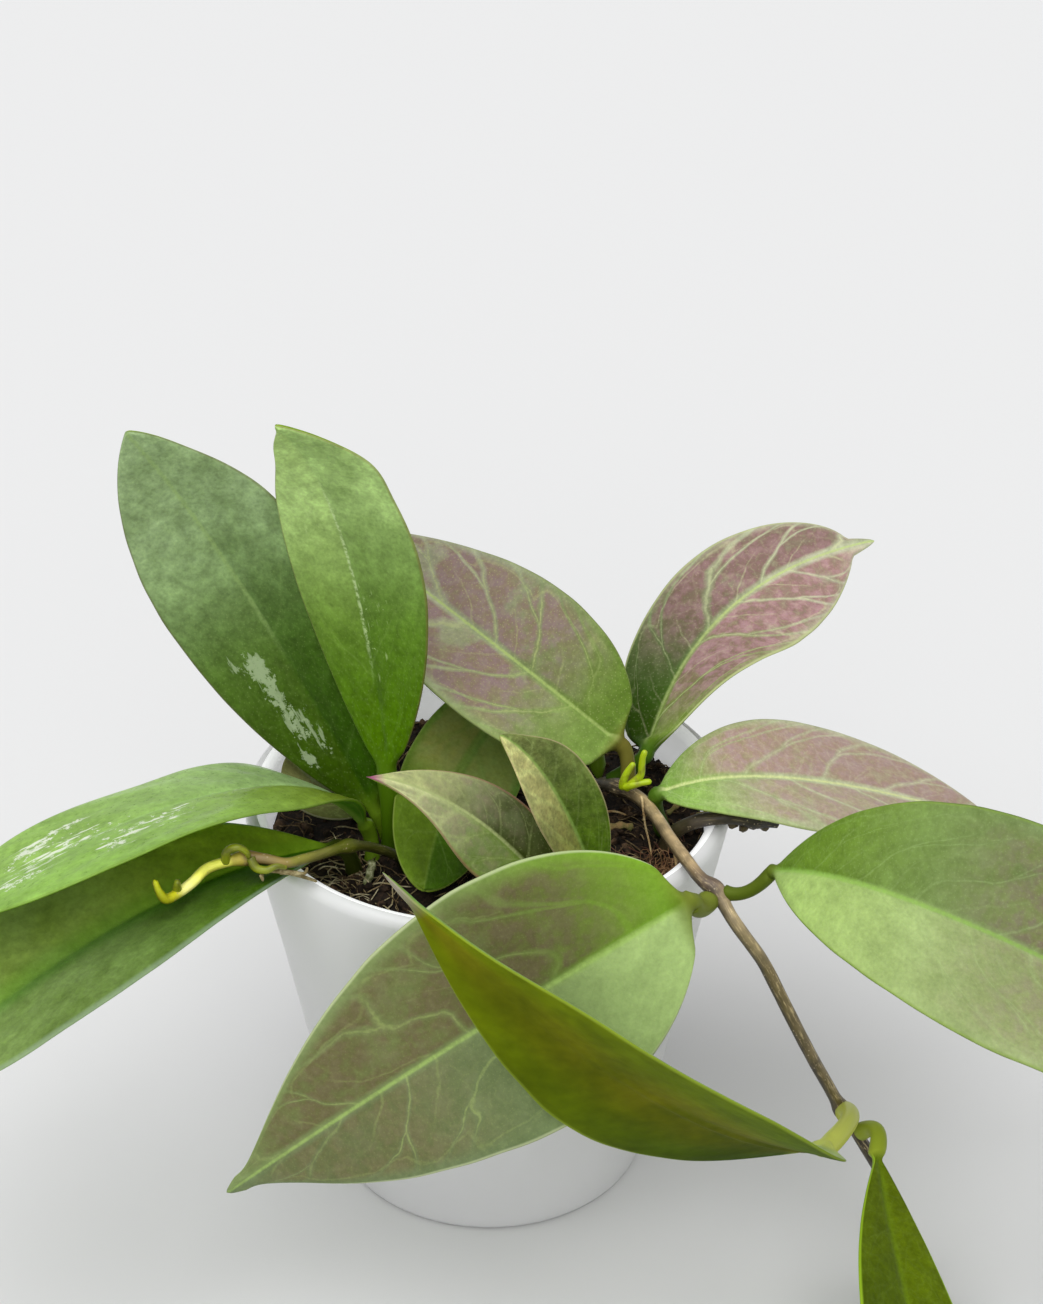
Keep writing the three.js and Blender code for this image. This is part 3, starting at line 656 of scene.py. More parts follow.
behindLeft = {
    "node": "leaf_behind_left", "slot": "leaf_silver", "foot": (-17, 4, 72), "base": (-21, 4, 74.8),
    "middle": (-29.5, 2.5, 78.6), "tip": (-37.5, 6.5, 84), "width": 15, "face": (-0.1, -0.24, 0.97), "rise": 1.1,
    "fall": 0.8, "fold": 8, "veins": {"apart": 5, "slope": 1.2, "sweep": 2}, "wave": 0.5,
    "splashes": [{"at": (0.7, 0.0), "reach": (0.4, 0.9), "by": 0.42}],
    "look": {
        **leafLook, "leftBase": "#3c4a1e", "base": "#3c4a1e", "leftTip": "#66663c", "tip": "#6a6846",
        "midrib": "#8a9a78", "midribAmount": 0.3, "veinAmount": 0.12, "silver": "#6f7a58", "bloomAndSheen": 0.0,
        "marginAndGlint": "#9a9580", "gloss": 0.1,
    },
}
sunriseLook = {
    **leafLook, "base": "#5c8016", "tip": "#76804c", "blotch": "#6a554c", "blotchTwo": "#77606a", "blotchLeft": 1.0,
    "blotchRight": 1.0, "vein": "#a3ad78", "midrib": "#a8c848", "midribWidth": (0.55, 0.28), "veinAmount": 0.6,
    "marginAndGlint": "#8d9a5a", "bloomAndSheen": 0.12, "bloomAndSheenColour": "#a39a94", "roughness": 0.42, "blotchEdge": 0.75,
}
centrePurple = {
    "node": "leaf_centre_purple", "slot": "leaf_sunrise", "foot": (25.6, -4, 82.2), "base": (24.5, -0.3, 90),
    "middle": (-2, 14.5, 106), "tip": (-27.5, 46, 110.5), "bend": 0.25, "width": 32, "face": (0.12, -0.63, 0.77),
    "rise": 0.52, "fall": 0.84, "fold": 11, "skew": 0.01, "veins": {"apart": 15, "slope": 0.9, "sweep": 6},
    "look": {
        **sunriseLook, "blotchFrom": 0.24, "stalkColour": "#6a6428", "bloomAndSheenColour": "#c9d6d4", "blotch": "#7c665a",
        "blotchTwo": "#836e6e", "vein": "#b0b878", "base": "#5f7a2c", "tip": "#909272", "midribAmount": 0.75,
        "specks": 0.3, "leftBase": "#7a9645", "leftTip": "#a3a483", "patchy": (0.36, 0.48, 0.3), "veinFrom": 0.1,
        "midrib": "#a3b86a", "midribWidth": (0.45, 0.3), "blotchEdge": 0.85, "netAmount": 0.08, "leftPaintedShade": 1.12,
    },
    "under": {**underLook, "base": "#5a6a30", "tip": "#5a5436"},
}
topRight = {
    "node": "leaf_top_right", "slot": "leaf_sunrise", "foot": (21.8, 1.4, 80.3), "base": (29.3, 3, 86),
    "middle": (46, 30, 101), "tip": (75, 41.5, 110), "bend": 0.1, "width": 31, "face": (-0.64, -0.63, 0.44),
    "rise": 0.62, "fall": 0.6, "fold": 8, "skew": -0.12, "drip": 0.07, "dripWidth": 3.8, "wave": 1.5,
    "veins": {"apart": 16, "slope": 1.3, "sweep": 6},
    "look": {
        # the left half's dark base colour, leftPaintedShade and paintedShade are painted shade on the half turned from
        # the light
        **sunriseLook, "leftBase": "#2f6a05", "base": "#769a2a", "leftTip": "#b6bb96", "tip": "#bdbd9d",
        "blotch": "#8a6a63", "blotchTwo": "#ad898a", "blotchFrom": 0.12, "blotchTo": 0.96, "vein": "#d3d8a6",
        "midrib": "#b9cc80", "midribWidth": (0.5, 0.3), "bloomAndSheenColour": "#c9d8cf", "paintedShade": (0.74, 0.2),
        "paintedShadeTo": 0.64, "blotchFromLeft": 0.3, "leftPaintedShade": 0.72, "veinAmount": 0.75, "blotchEdge": 0.55,
        "gloss": 0.16, "stalkColour": "#3c5c10", "bloomAndSheenFrom": 0.35, "patchy": (0.3, 0.42, 0.6), "marginAndGlint": "#bcc68c",
        "marginAndGlintAmount": 0.7, "marginWidth": 0.03,
    },
    "under": {**underLook, "base": "#5a6a30", "tip": "#6a5040"},
}
middleRight = {
    "node": "leaf_middle_right", "slot": "leaf_sunrise", "foot": (33, -1.5, 72), "base": (30.8, -8.2, 84.4),
    "middle": (56.5, -4.5, 85), "tip": (97, 9.5, 65), "bend": 0.1, "width": 30.5, "face": (0, -0.21, 0.98),
    "rise": 0.78, "fall": 0.62, "fold": 6, "skew": -0.03, "veins": {"apart": 14, "slope": 1.5, "sweep": 6},
    "bulges": [{"hand": -1, "at": 0.3, "reach": 0.22, "by": -0.12}],
    "look": {
        **sunriseLook, "leftBase": "#7da047", "base": "#89ad52", "leftTip": "#b6ba88", "tip": "#c3cd95",
        "blotch": "#a48978", "blotchTwo": "#ac938c", "blotchFrom": 0.3, "vein": "#dce4b3", "midrib": "#d8e09c",
        "midribWidth": (0.5, 0.36), "bloomAndSheen": 0.25, "roughness": 0.36, "bloomAndSheenColour": "#d3e7d3", "leftPaintedShade": 0.98,
        "blotchEdge": 0.6, "blotchFromLeft": 0.2, "blotchRight": 0.85, "veinAmount": 0.34, "stalkColour": "#4a6a1a",
        "veinClear": 0.6, "patchy": (0.32, 0.46, 0.65),
    },
    "under": {**underLook, "base": "#5f7a30", "tip": "#6a5040"},
}
bigRight = {
    "node": "leaf_big_right", "slot": "leaf_bright", "foot": (40.4, -34.3, 81.3), "base": (49, -36, 86.5),
    "middle": (77.5, -51, 87.3), "tip": (131, -56.5, 58.5), "knee": (44.8, -36.8, 80.5), "width": 42,
    "face": (0.06, -0.61, 0.79), "rise": 0.97, "fall": 0.55, "fold": 14, "stalk": 1.15,
    "veins": {"apart": 14, "slope": 1.2, "sweep": 6},
    "look": {
        **leafLook, "base": "#9eba68", "tip": "#8c985f", "leftBase": "#628128", "leftTip": "#546626",
        "vein": "#aec786", "midrib": "#86b04c", "midribWidth": (0.7, 0.4), "midribAmount": 0.7, "veinAmount": 0.22,
        "blotch": "#7f784d", "blotchLeft": 0.55, "blotchRight": 0.4, "blotchFrom": 0.55, "marginAndGlint": "#7f9a3a",
        "bloomAndSheen": 0.15, "bloomAndSheenColour": "#bcd1aa", "stalkColour": "#54641a", "netAmount": 0.05,
        "blotchTwo": "#7d5663", "mottle": 0.15, "veinClear": 0.7,
    },
}
frontLeaf = {
    "node": "leaf_front", "slot": "leaf_olive", "foot": (38.5, -34.9, 80.4), "base": (34.5, -41.5, 84.5),
    "middle": (-8.5, -60.5, 67), "tip": (-46, -59.5, 36), "width": 45, "face": (0.04, -0.9, 0.43), "rise": 0.63,
    "fall": 1.15, "fold": 9, "skew": -0.03, "drip": 0.04, "dripWidth": 3.2, "knee": (36.6, -39.4, 79.2),
    "stalk": 1.65, "veins": {"apart": 19, "slope": 1.0, "sweep": 7},
    "bulges": [{"hand": 1, "at": 0.8, "reach": 0.16, "by": 0.16}],
    "look": {
        **leafLook, "base": "#82ae30", "tip": "#788c4c", "leftBase": "#a6c078", "leftTip": "#5f7142",
        "blotch": "#63603a", "blotchTwo": "#6e6749", "blotchLeft": 0.75, "blotchRight": 0.95, "blotchFrom": 0.12,
        "blotchTo": 0.93, "vein": "#a6b76c", "midrib": "#a5c46a", "midribWidth": (0.7, 0.3), "veinAmount": 0.42,
        # the margin colour here is a painted highlight along the edge
        "netAmount": 0.05, "marginAndGlint": "#c8d2a4", "marginWidth": 0.018, "bloomAndSheen": 0.12, "bloomAndSheenColour": "#a5ac9f",
        "stalkColour": "#6f7a2c", "midribAmount": 0.6, "veinFrom": 0.2, "mottle": 0.12, "veinClear": 0.6,
        "specks": 0.1, "blotchFromLeft": 0.5, "groundRange": (0.02, 0.42), "marginAndGlintAmount": 0.65,
        "patchy": (0.32, 0.52, 0.6), "gloss": 0.18,
    },
}
frontNarrow = {
    "node": "leaf_front_narrow", "slot": "leaf_underside", "foot": (63.4, -42.2, 38.2), "base": (58.4, -58, 43.6),
    "middle": (24.2, -76.5, 72.5), "tip": (-16.5, -75, 114), "width": 38, "face": (0.5, 0.84, 0.21), "rise": 0.76,
    "fall": 0.97, "fold": -12, "stalk": 1.65, "drip": 0.05, "dripWidth": 1.6, "knee": (65.7, -48.9, 43.5),
    "veins": {"apart": 15, "slope": 1.1, "sweep": 6}, "puff": 0.4,
    "bulges": [
        {"hand": 1, "at": 0.36, "reach": 0.22, "by": 0.34}, {"hand": -1, "at": 0.3, "reach": 0.2, "by": 0.07},
        {"hand": 1, "at": 0.86, "reach": 0.12, "by": -0.25},
    ],
    "look": {
        **leafLook, "base": "#8fa85a", "tip": "#5c8a30", "veinAmount": 0.3, "midribAmount": 0.6,
        "blotch": "#7a5a40", "blotchLeft": 0.4, "blotchRight": 0.4, "stalkColour": "#b4ba56", "stalkRun": 0.07,
    },
    "under": {
        # the rim colour is a painted highlight along the edge, and leftPaintedLight paints the left half lighter
        **underLook, "base": "#3b5202", "tip": "#606d05", "band": "#63570e", "bandAmount": 0.5, "rimAndGlint": "#93a83a",
        "rimAndGlintAmount": 0.6, "veinAmount": 0.03, "vein": "#6a6a20", "ribAmount": 0.0, "gloss": 0.03, "roughness": 0.6,
        "leftPaintedLight": 1.28, "tipAmount": 0.8,
    },
}
trailingLeaf = {
    "node": "leaf_trailing", "slot": "leaf_underside", "foot": (66.2, -42.5, 33.4), "base": (68.3, -51.8, 37),
    "middle": (71.3, -80, 24), "tip": (79, -124, 5), "knee": (70.3, -45.8, 39.9), "width": 25,
    "face": (0.5, -0.65, 0.57), "rise": 1.15, "fall": 0.5, "fold": 8, "skew": -0.06, "stalk": 1.4,
    "veins": {"apart": 13, "slope": 1.2, "sweep": 5}, "puff": 0.4,
    "look": {
        **leafLook, "leftBase": "#5b6c0c", "base": "#56670a", "leftTip": "#4c6004", "tip": "#3c5002",
        "midrib": "#6f8a1c", "midribWidth": (1.0, 0.7), "midribAmount": 0.4, "veinAmount": 0.06, "netAmount": 0.03,
        "marginAndGlint": "#9cc02e", "marginWidth": 0.035, "marginAndGlintAmount": 0.8, "bloomAndSheen": 0.0, "gloss": 0.12,
        "stalkColour": "#8c9a2e", "stalkRun": 0.03, "specks": 0.03,
    },
}
centreSmall = {
    "node": "leaf_centre_small", "slot": "leaf_olive", "foot": (14, -28.5, 72), "base": (10, -28, 78.5),
    "middle": (-5, -22.5, 91), "tip": (-21, -29, 102), "width": 16.5, "face": (-0.09, -0.52, 0.85), "rise": 0.55,
    "fall": 1.3, "fold": 12, "skew": 0.09, "veins": {"apart": 8, "slope": 1.0, "sweep": 3}, "wave": 0.4,
    "puff": 0.7,
    "look": {
        # the right half's dark base colour and its paintedShade are painted shade near the stalk
        **sunriseLook, "leftBase": "#6a8630", "base": "#35420e", "leftTip": "#dae09e", "tip": "#c8d088",
        "blotch": "#848c64", "blotchLeft": 0.6, "blotchRight": 0.6, "vein": "#bcc985", "midrib": "#b4c080",
        "midribWidth": (0.45, 0.25), "marginAndGlint": "#8f5f50", "marginWidth": 0.04, "bloomAndSheenColour": "#d3d5b4",
        "blotchTwo": "#8a7d6a", "paintedShade": (0.1, 0.6), "paintedShadeTo": 0.42, "groundRange": (0.3, 0.85),
        "patchy": (0.4, 0.54, 0.2), "netAmount": 0.03, "marginAndGlintAmount": 0.6, "tipAmount": 0.9, "veinAmount": 0.35,
        "veinClear": 0.6,
    },
    "under": {**underLook, "base": "#4a5a2a", "tip": "#5a5a30"},
}
centreFolded = {
    "node": "leaf_centre_folded", "slot": "leaf_olive", "foot": (21, -27, 72), "base": (19, -27, 77.5),
    "middle": (11, -29, 99.5), "tip": (2, -31, 111.5), "width": 15.5, "face": (0.14, -0.73, 0.67), "rise": 0.68,
    "fall": 0.84, "fold": 32, "skew": 0.02, "veins": {"apart": 8, "slope": 1.3, "sweep": 3}, "wave": 0.4,
    "puff": 0.7, "bulges": [{"hand": -1, "at": 0.9, "reach": 0.14, "by": -0.35}],
    "look": {
        **sunriseLook, "base": "#587a12", "tip": "#67753a", "leftBase": "#8c9444", "leftTip": "#c2c47e",
        "blotch": "#7d6a48", "blotchLeft": 0.35, "blotchRight": 0.1, "blotchFrom": 0.2, "blotchEdge": 0.2,
        "midrib": "#8fae58", "marginAndGlint": "#c8b08c", "bloomAndSheen": 0.06, "midribWidth": (0.5, 0.3), "marginWidth": 0.03,
        "bloomAndSheenColour": "#9aa08a", "blotchTwo": "#7c5a3c", "vein": "#b9c581", "veinAmount": 0.25, "gloss": 0.15,
        "patchy": (0.42, 0.54, 0.2), "mottle": 0.4, "netAmount": 0.04,
    },
    "under": {**underLook, "base": "#4a5a2a", "tip": "#5a5a30"},
}
centreDark = {
    "node": "leaf_centre_dark", "slot": "leaf_green", "foot": (20.8, 3, 79.5), "base": (9, 17, 93),
    "middle": (-4.5, 3, 84), "tip": (-11.5, -28, 77.5), "width": 22, "face": (0.13, -0.78, 0.62), "rise": 0.62,
    "fall": 0.5, "fold": 9, "skew": 0.05, "veins": {"apart": 12, "slope": 1.1, "sweep": 5},
    "look": {
        # the base and blotch colours are painted lighter here: painted light in the shade under the centre purple leaf
        **leafLook, "leftBase": "#6a9c42", "base": "#6f9c40", "leftTip": "#3a5a0c", "tip": "#56701a",
        "blotch": "#a89f5a", "blotchLeft": 0.45, "blotchRight": 0.6, "blotchFrom": -0.1, "veinAmount": 0.1,
        "midribAmount": 0.06, "bloomAndSheen": 0.0, "netAmount": 0.03, "blotchTo": 0.62, "blotchTwo": "#9a9a5c",
        "specks": 0.05, "gloss": 0.1, "patchy": (0.34, 0.5, 0.5), "veinClear": 0.8,
    },
}
leaves = [
    backLeft, uprightLeaf, upperLeft, lowerLeft, behindLeft, centrePurple, topRight, middleRight, bigRight,
    frontLeaf, frontNarrow, trailingLeaf, centreSmall, centreFolded, centreDark,
]


def dressLeaf(leaf, names, length, seed, underSeed):
    look = leaf["look"]
    upper = leafSkin(names[0], look, leaf["veins"], length, seed)
    lower = underSkin(names[1], leaf.get("under", underLook), length, look["stalkColour"], underSeed)
    growLeaf(leaf, [upper, lower], seed)


def growLeaves():
    for seed, leaf in enumerate(leaves, 1):
        base, middle, tip = [Vector(leaf[key]) for key in ("base", "middle", "tip")]
        length = (middle - base).length + (tip - middle).length
        name = leaf["node"][5:]
        dressLeaf(leaf, (name + "WaxyUpper", name + "WaxyUnder"), length, seed, seed + 20)


# Pot: moulded polypropylene, satin white, with a rolled lip and small drain holes
pot = {
    "baseRadius": 30, "rimRadius": 45, "height": 81, "wall": 2.6, "floor": 3.5, "footRound": 1.6,
    "lipRadius": 1.9, "drainRadius": 2.5, "drainCircle": 17, "drainHoles": 4, "turns": 160,
    "roughness": 0.36,
}


def arc(x, z, radius, start, end, steps):
    turns = [math.radians(between(start, end, k / steps)) for k in range(steps + 1)]
    return [(x + radius * math.cos(turn), z + radius * math.sin(turn)) for turn in turns]


def potSkin(name, dark, light, paintedGlow=0):  # the glow is painted light: the inner wall glows a little so that it looks brighter, as if lit through the thin wall
    satin = pot["roughness"]
    skin, add, shader = newSkin(
        name, IOR=1.49, Roughness=satin, Subsurface_Weight=0.6, Subsurface_Radius=(1, 1, 1),
        Subsurface_Scale=5 * mm, Emission_Color=linear("#f4f5f8"), Emission_Strength=paintedGlow)
    place = add("TexCoord", out=3)
    haze = add("TexNoise", {"Vector": place, "Scale": 35.0, "Detail": 3.0})
    fine = add("TexNoise", {"Vector": place, "Scale": 1800.0})  # grain of the mould, 0.5 mm
    plug(shader, {
        "Base Color": add("Mix", {0: haze, 6: linear(dark), 7: linear(light)}, **blend),
        "Roughness": add("MapRange", {0: fine, 1: 0.3, 2: 0.7, 3: satin - 0.04, 4: satin + 0.05}),
        "Normal": add("Bump", {"Strength": 0.25, "Distance": 0.02 * mm, "Height": fine}),
    })
    return skin


def throwPot():
    slope = (pot["rimRadius"] - pot["baseRadius"]) / pot["height"]

    def radiusAt(z):
        return pot["baseRadius"] + slope * z

    lip, foot, top = pot["lipRadius"], pot["footRound"], pot["height"] - 3 * pot["lipRadius"]
    profile = [
        (0, 0), *arc(radiusAt(foot) - foot, foot, foot, -90, 0, 6), (radiusAt(27), 27), (radiusAt(54), 54),
        *arc(pot["rimRadius"] - lip, pot["height"] - lip, lip, 0, 180, 16), (radiusAt(top) - pot["wall"], top),
        (radiusAt(40) - pot["wall"], 40), (radiusAt(pot["floor"]) - pot["wall"], pot["floor"]), (0, pot["floor"]),
    ]
    bm = bmesh.new()
    verts = [bm.verts.new(Vector((x, 0, z)) * mm) for x, z in profile]
    edges = [bm.edges.new(pair) for pair in zip(verts, verts[1:])]
    bmesh.ops.spin(
        bm, geom=verts + edges, axis=(0, 0, 1), cent=(0, 0, 0), steps=pot["turns"], angle=2 * math.pi, use_merge=True)
    bmesh.ops.remove_doubles(bm, verts=bm.verts, dist=weld)
    for face in bm.faces:
        face.smooth = True
        middle = face.calc_center_median() / mm
        inner = middle.xy.length < radiusAt(middle.z) - 0.7 * pot["wall"] and middle.z > pot["floor"] + 1
        face.material_index = int(inner)
    outer = potSkin("mouldedPolypropylene", "#d8d8d9", "#e2e2e2")
    # the inner wall's paler colours and its glow are painted light
    inner = potSkin("innerPolypropylenePaintedLight", "#f0f0f0", "#f6f6f6", 0.3)
    body = settle(bm, "potShell", [outer, inner], "pot")
    cutters = bmesh.new()
    for k in range(pot["drainHoles"]):
        turn = 2 * math.pi * (k + 0.5) / pot["drainHoles"]
        centre = Vector((math.cos(turn), math.sin(turn), 0)) * pot["drainCircle"] * mm
        bmesh.ops.create_cone(
            cutters, cap_ends=True, segments=32, radius1=pot["drainRadius"] * mm, radius2=pot["drainRadius"] * mm,
            depth=4 * pot["floor"] * mm, matrix=Matrix.Translation(centre))
    mesh = bpy.data.meshes.new("drains")
    cutters.to_mesh(mesh)
    cutters.free()
    drains = bpy.data.objects.new("drains", mesh)
    bpy.context.scene.collection.objects.link(drains)
    cut = body.modifiers.new("drains", "BOOLEAN")
    cut.object = drains
    cut.operation = "DIFFERENCE"
    cut.solver = "EXACT"
    graph = bpy.context.evaluated_depsgraph_get()
    body.data = bpy.data.meshes.new_from_object(body.evaluated_get(graph))
    body.modifiers.clear()
    bpy.data.objects.remove(drains)


# Soil: dark peat with crumbs and coir fibres
soil = {
    "level": 72, "bottom": 3.85, "inset": 0.5, "rough": 1.1, "crumbs": 1100, "fibres": 480, "redFibres": 110,
    "paleFibres": 60,
}


def soilHeight(x, y):
    coarse = noise.noise(Vector((x * 0.12, y * 0.12, 3))) * 1.2
    fine = noise.noise(Vector((x * 0.45, y * 0.45, 8))) * 0.8
    return soil["level"] + soil["rough"] * (coarse + fine)


def peatSkin(name, dark, light, scale):
    skin, add, shader = newSkin(name, Roughness=0.92, Specular_IOR_Level=0.25)
    place = add("TexCoord", out=3)
    mix = add("TexNoise", {"Vector": place, "Scale": scale, "Detail": 5.0, "Roughness": 0.7})
    share = add("MapRange", {0: mix, 1: 0.42, 2: 0.72}, **smooth)
    grit = add("TexNoise", {"Vector": place, "Scale": 2500.0, "Detail": 3.0})
    plug(shader, {
        "Base Color": add("Mix", {0: share, 6: linear(dark), 7: linear(light)}, **blend),
        "Normal": add("Bump", {"Strength": 0.7, "Distance": 0.3 * mm, "Height": grit}),
    })
    return skin


def fillSoil():
    slope = (pot["rimRadius"] - pot["baseRadius"]) / pot["height"]
    rings = [(soil["bottom"], 0), (soil["bottom"], 1), (36, 1), (66, 1)]
    topRings = 46

    def shape(vert, a, b):
        row = round(b * (len(rings) + topRings))
        angle = 2 * math.pi * a
        if row < len(rings):
            z, out = rings[row]
            radius = out * (pot["baseRadius"] + slope * z - pot["wall"] - soil["inset"])
        else:
            share = 1 - (row - len(rings)) / topRings
            radius = share * (pot["baseRadius"] + slope * soil["level"] - pot["wall"] - soil["inset"])
            z = soilHeight(radius * math.cos(angle), radius * math.sin(angle))
        vert.co = Vector((radius * math.cos(angle), radius * math.sin(angle), z)) * mm

    bm = bmesh.new()
    rolled(bm, 120, len(rings) + topRings, shape)
    peat = peatSkin("moistPeat", "#15100b", "#3a2b1f", 700.0)
    settle(bm, "soilBody", [peat, peat], "soil")
    reach = pot["baseRadius"] + slope * soil["level"] - pot["wall"] - 1.5

    def spot():
        radius, angle = reach * math.sqrt(random.random()), random.uniform(0, 2 * math.pi)
        return radius * math.cos(angle), radius * math.sin(angle)

    bm = bmesh.new()
    for k in range(soil["crumbs"]):
        x, y = spot()
        size = random.uniform(0.3, 1.0) ** 2 * 1.6
        made = bmesh.ops.create_icosphere(bm, subdivisions=1, radius=size * mm)["verts"]
        turn = Matrix.Rotation(random.uniform(0, 6), 4, Vector((random.random(), random.random(), 1)))
        squash = Matrix.Diagonal((random.uniform(0.6, 1.3), random.uniform(0.5, 1), random.uniform(0.4, 0.9), 1))
        place = Matrix.Translation(Vector((x, y, soilHeight(x, y) + 0.2 * size)) * mm)
        bmesh.ops.transform(bm, matrix=place @ turn @ squash, verts=made)
        for vert in made:
            vert.co += noise.noise_vector(vert.co * 900) * 0.15 * size * mm
    settle(bm, "peatCrumbs", [peatSkin("peatCrumb", "#1c140d", "#5e4833", 320.0)])
    for name, count, skin, region in (
        ("coirFibres", soil["fibres"], peatSkin("coirFibre", "#4c3c26", "#a8946c", 260.0), None),
        ("redFibres", soil["redFibres"], peatSkin("redCoirFibre", "#54362a", "#a07860", 260.0), (32, -17, 9)),
        ("paleFibres", soil["paleFibres"], peatSkin("paleCoirFibre", "#8a7c58", "#d8ceaa", 260.0), (-26, -15, 12)),
    ):
        bm = bmesh.new()
        for k in range(count):
            x, y = spot()
            if region:
                x, y = random.gauss(region[0], region[2] * 0.5), random.gauss(region[1], region[2] * 0.5)
                if math.hypot(x, y) > reach - 1:
                    continue
            angle, run = random.uniform(0, 6.28), random.uniform(3, 11)
            stops = []
            for j in range(4):
                px = x + math.cos(angle) * run * j / 3 + random.uniform(-0.9, 0.9)
                py = y + math.sin(angle) * run * j / 3 + random.uniform(-0.9, 0.9)
                hold = min(1, (reach + 0.4) / max(0.1, math.hypot(px, py)))
                px, py = px * hold, py * hold
                stops.append((px, py, soilHeight(px, py) + random.uniform(0.0, 1.2) * (j in (1, 2)) + 0.15))
            thick = random.uniform(0.06, 0.16)
            tube(bm, stops, run / 7, 4, lambda run, length, angle: thick)
        settle(bm, name, [skin, skin])


# Stems: a thin bark with pale fibrous streaks along it, or smooth and green where the shoot is young
trailingStem = {
    "route": [
        (16, 4.5, 71), (17.2, 4.3, 76.5), (20.8, 3, 79.5), (24.1, -2.3, 82), (27.6, -6.3, 82.4),
        (30.2, -12.4, 82.5), (32.4, -20, 82.7), (34.8, -27.1, 82.9), (37.2, -32.6, 82.5),
        (39.4, -34.3, 81.5), (42.4, -37.7, 77.5), (47.7, -38.8, 69.5), (55.3, -42, 54.4),
        (63.2, -42, 38.5), (66.3, -42.5, 33.1), (71.5, -43.5, 23.5), (75.2, -46, 12.8),
        (79, -50, 5.5), (83, -54.5, 2.4), (88.5, -61, 2.1), (93.5, -69, 2.2), (100, -75, 2), (106.6, -78.3, 2.3),
    ],
    "radius": (1.25, 1.0),
    "knots": [3, 9, 9, 13, 20],
}
leftStem = {
    "route": [
        (-15, -13.5, 71), (-16.3, -14.2, 75), (-20.5, -16.8, 79), (-25, -21.3, 82.5),
        (-28.8, -26.3, 84.5), (-32, -30.3, 86), (-35.3, -33, 87), (-38.7, -33.2, 88),
        (-42.2, -32.8, 88), (-44.9, -33.7, 88), (-48.8, -34.6, 87), (-51.1, -37.3, 86),
        (-53.1, -39.4, 85.5), (-55.1, -42, 86), (-56, -42.8, 88), (-56.7, -42.9, 90.7),
    ],
    "radius": (0.95, 0.95),
    "knots": [3, 8],
    "taper": 0.55,
}
cutStem = {
    "route": [
        (32.3, -7.5, 71), (33, -8.6, 75), (37, -12.4, 81), (42.3, -13.8, 82.9), (48.3, -12.5, 81.7), (53, -11.7, 80.5),
    ],
    "radius": (1.35, 1.2),
    "knots": [4],
}


# Colours along a stem, in millimetres from its root
barkStops = [
    (0, "#54482c"), (14, "#6e6556"), (19, "#33291c"), (25, "#93805c"), (47, "#947f5d"), (52, "#54463a"), (57, "#83745a"),
    (67, "#7a6c4e"), (73, "#5d5136"), (90, "#5c5036"), (103, "#574c2e"), (109, "#50462a"), (113, "#261e12"),
    (120, "#5d5136"), (180, "#5d5136"),
]
youngStops = [
    (0, "#202308"), (14, "#35380c"), (20, "#50550f"), (27, "#62612a"), (32, "#74712e"), (36, "#746436"), (40, "#6e5a30"),
    (43, "#a39638"), (46, "#cdce50"), (50, "#f4f166"), (54, "#f6f090"), (57, "#b4b21a"), (62, "#a9ae10"),
]
deadStops = [(0, "#6e6040"), (8, "#5f5838"), (14, "#50483c"), (20, "#2c2616"), (30, "#1c1a0a")]


def stemSkin(name, stops, streak, streakAmount, patches):
    skin, add, shader = newSkin(name, IOR=1.45, Specular_IOR_Level=0.5)
    place = add("Attribute", out=1, attribute_name="stemPlace")
    paintedLightSide = add("Attribute", out=2, attribute_name="stemPaintedLight")
    along = add("SeparateXYZ", {0: place}, out=2)
    long = add("Mapping", {0: place, 3: (2.2, 2.2, 0.3)})
    fibres = add("TexNoise", {"Vector": long, "Scale": 1.4, "Detail": 4.0, "Roughness": 0.65})
    clouds = add("TexNoise", {"Vector": place, "Scale": 0.35, "Detail": 3.0})
    ageing = add("Math", {0: add("Math", {0: clouds, 1: 0.5}, **minus), 1: 6.0, 2: along}, **timesPlus)
    layers = [
        (add("MapRange", {0: ageing, 1: start, 2: end}, **smooth), tone)
        for (start, _), (end, tone) in zip(stops, stops[1:])
    ]
    layers.append((add("MapRange", {0: fibres, 1: 0.5, 2: 0.72, 4: streakAmount}, **smooth), streak))
    colour = layered(add, linear(stops[0][1]), layers)
    # Patches darker and lighter at random, then painted light: the side toward lightFrom painted lighter, the edges
    # painted darker
    for source, low, high, dark, light in ((clouds, 0.32, 0.62, *patches), (paintedLightSide, -0.2, 0.95, 0.3, 1.75)):
        shade = add("MapRange", {0: source, 1: low, 2: high, 3: dark, 4: light})
        colour = add("Mix", {0: 1.0, 6: colour, 7: shade}, **darken)
    specks = add("TexVoronoi", {"Vector": place, "Scale": 0.9})
    specks = add("MapRange", {0: specks, 1: 0.16, 2: 0.1, 4: 0.6})
    plug(shader, {
        "Base Color": add("Mix", {0: specks, 6: colour, 7: linear("#c0ae8c")}, **blend),
        "Roughness": add("MapRange", {0: fibres, 1: 0.3, 2: 0.7, 3: 0.3, 4: 0.5}),
        "Normal": add("Bump", {"Strength": 0.8, "Distance": 0.12 * mm, "Height": fibres}),
    })
    return skin


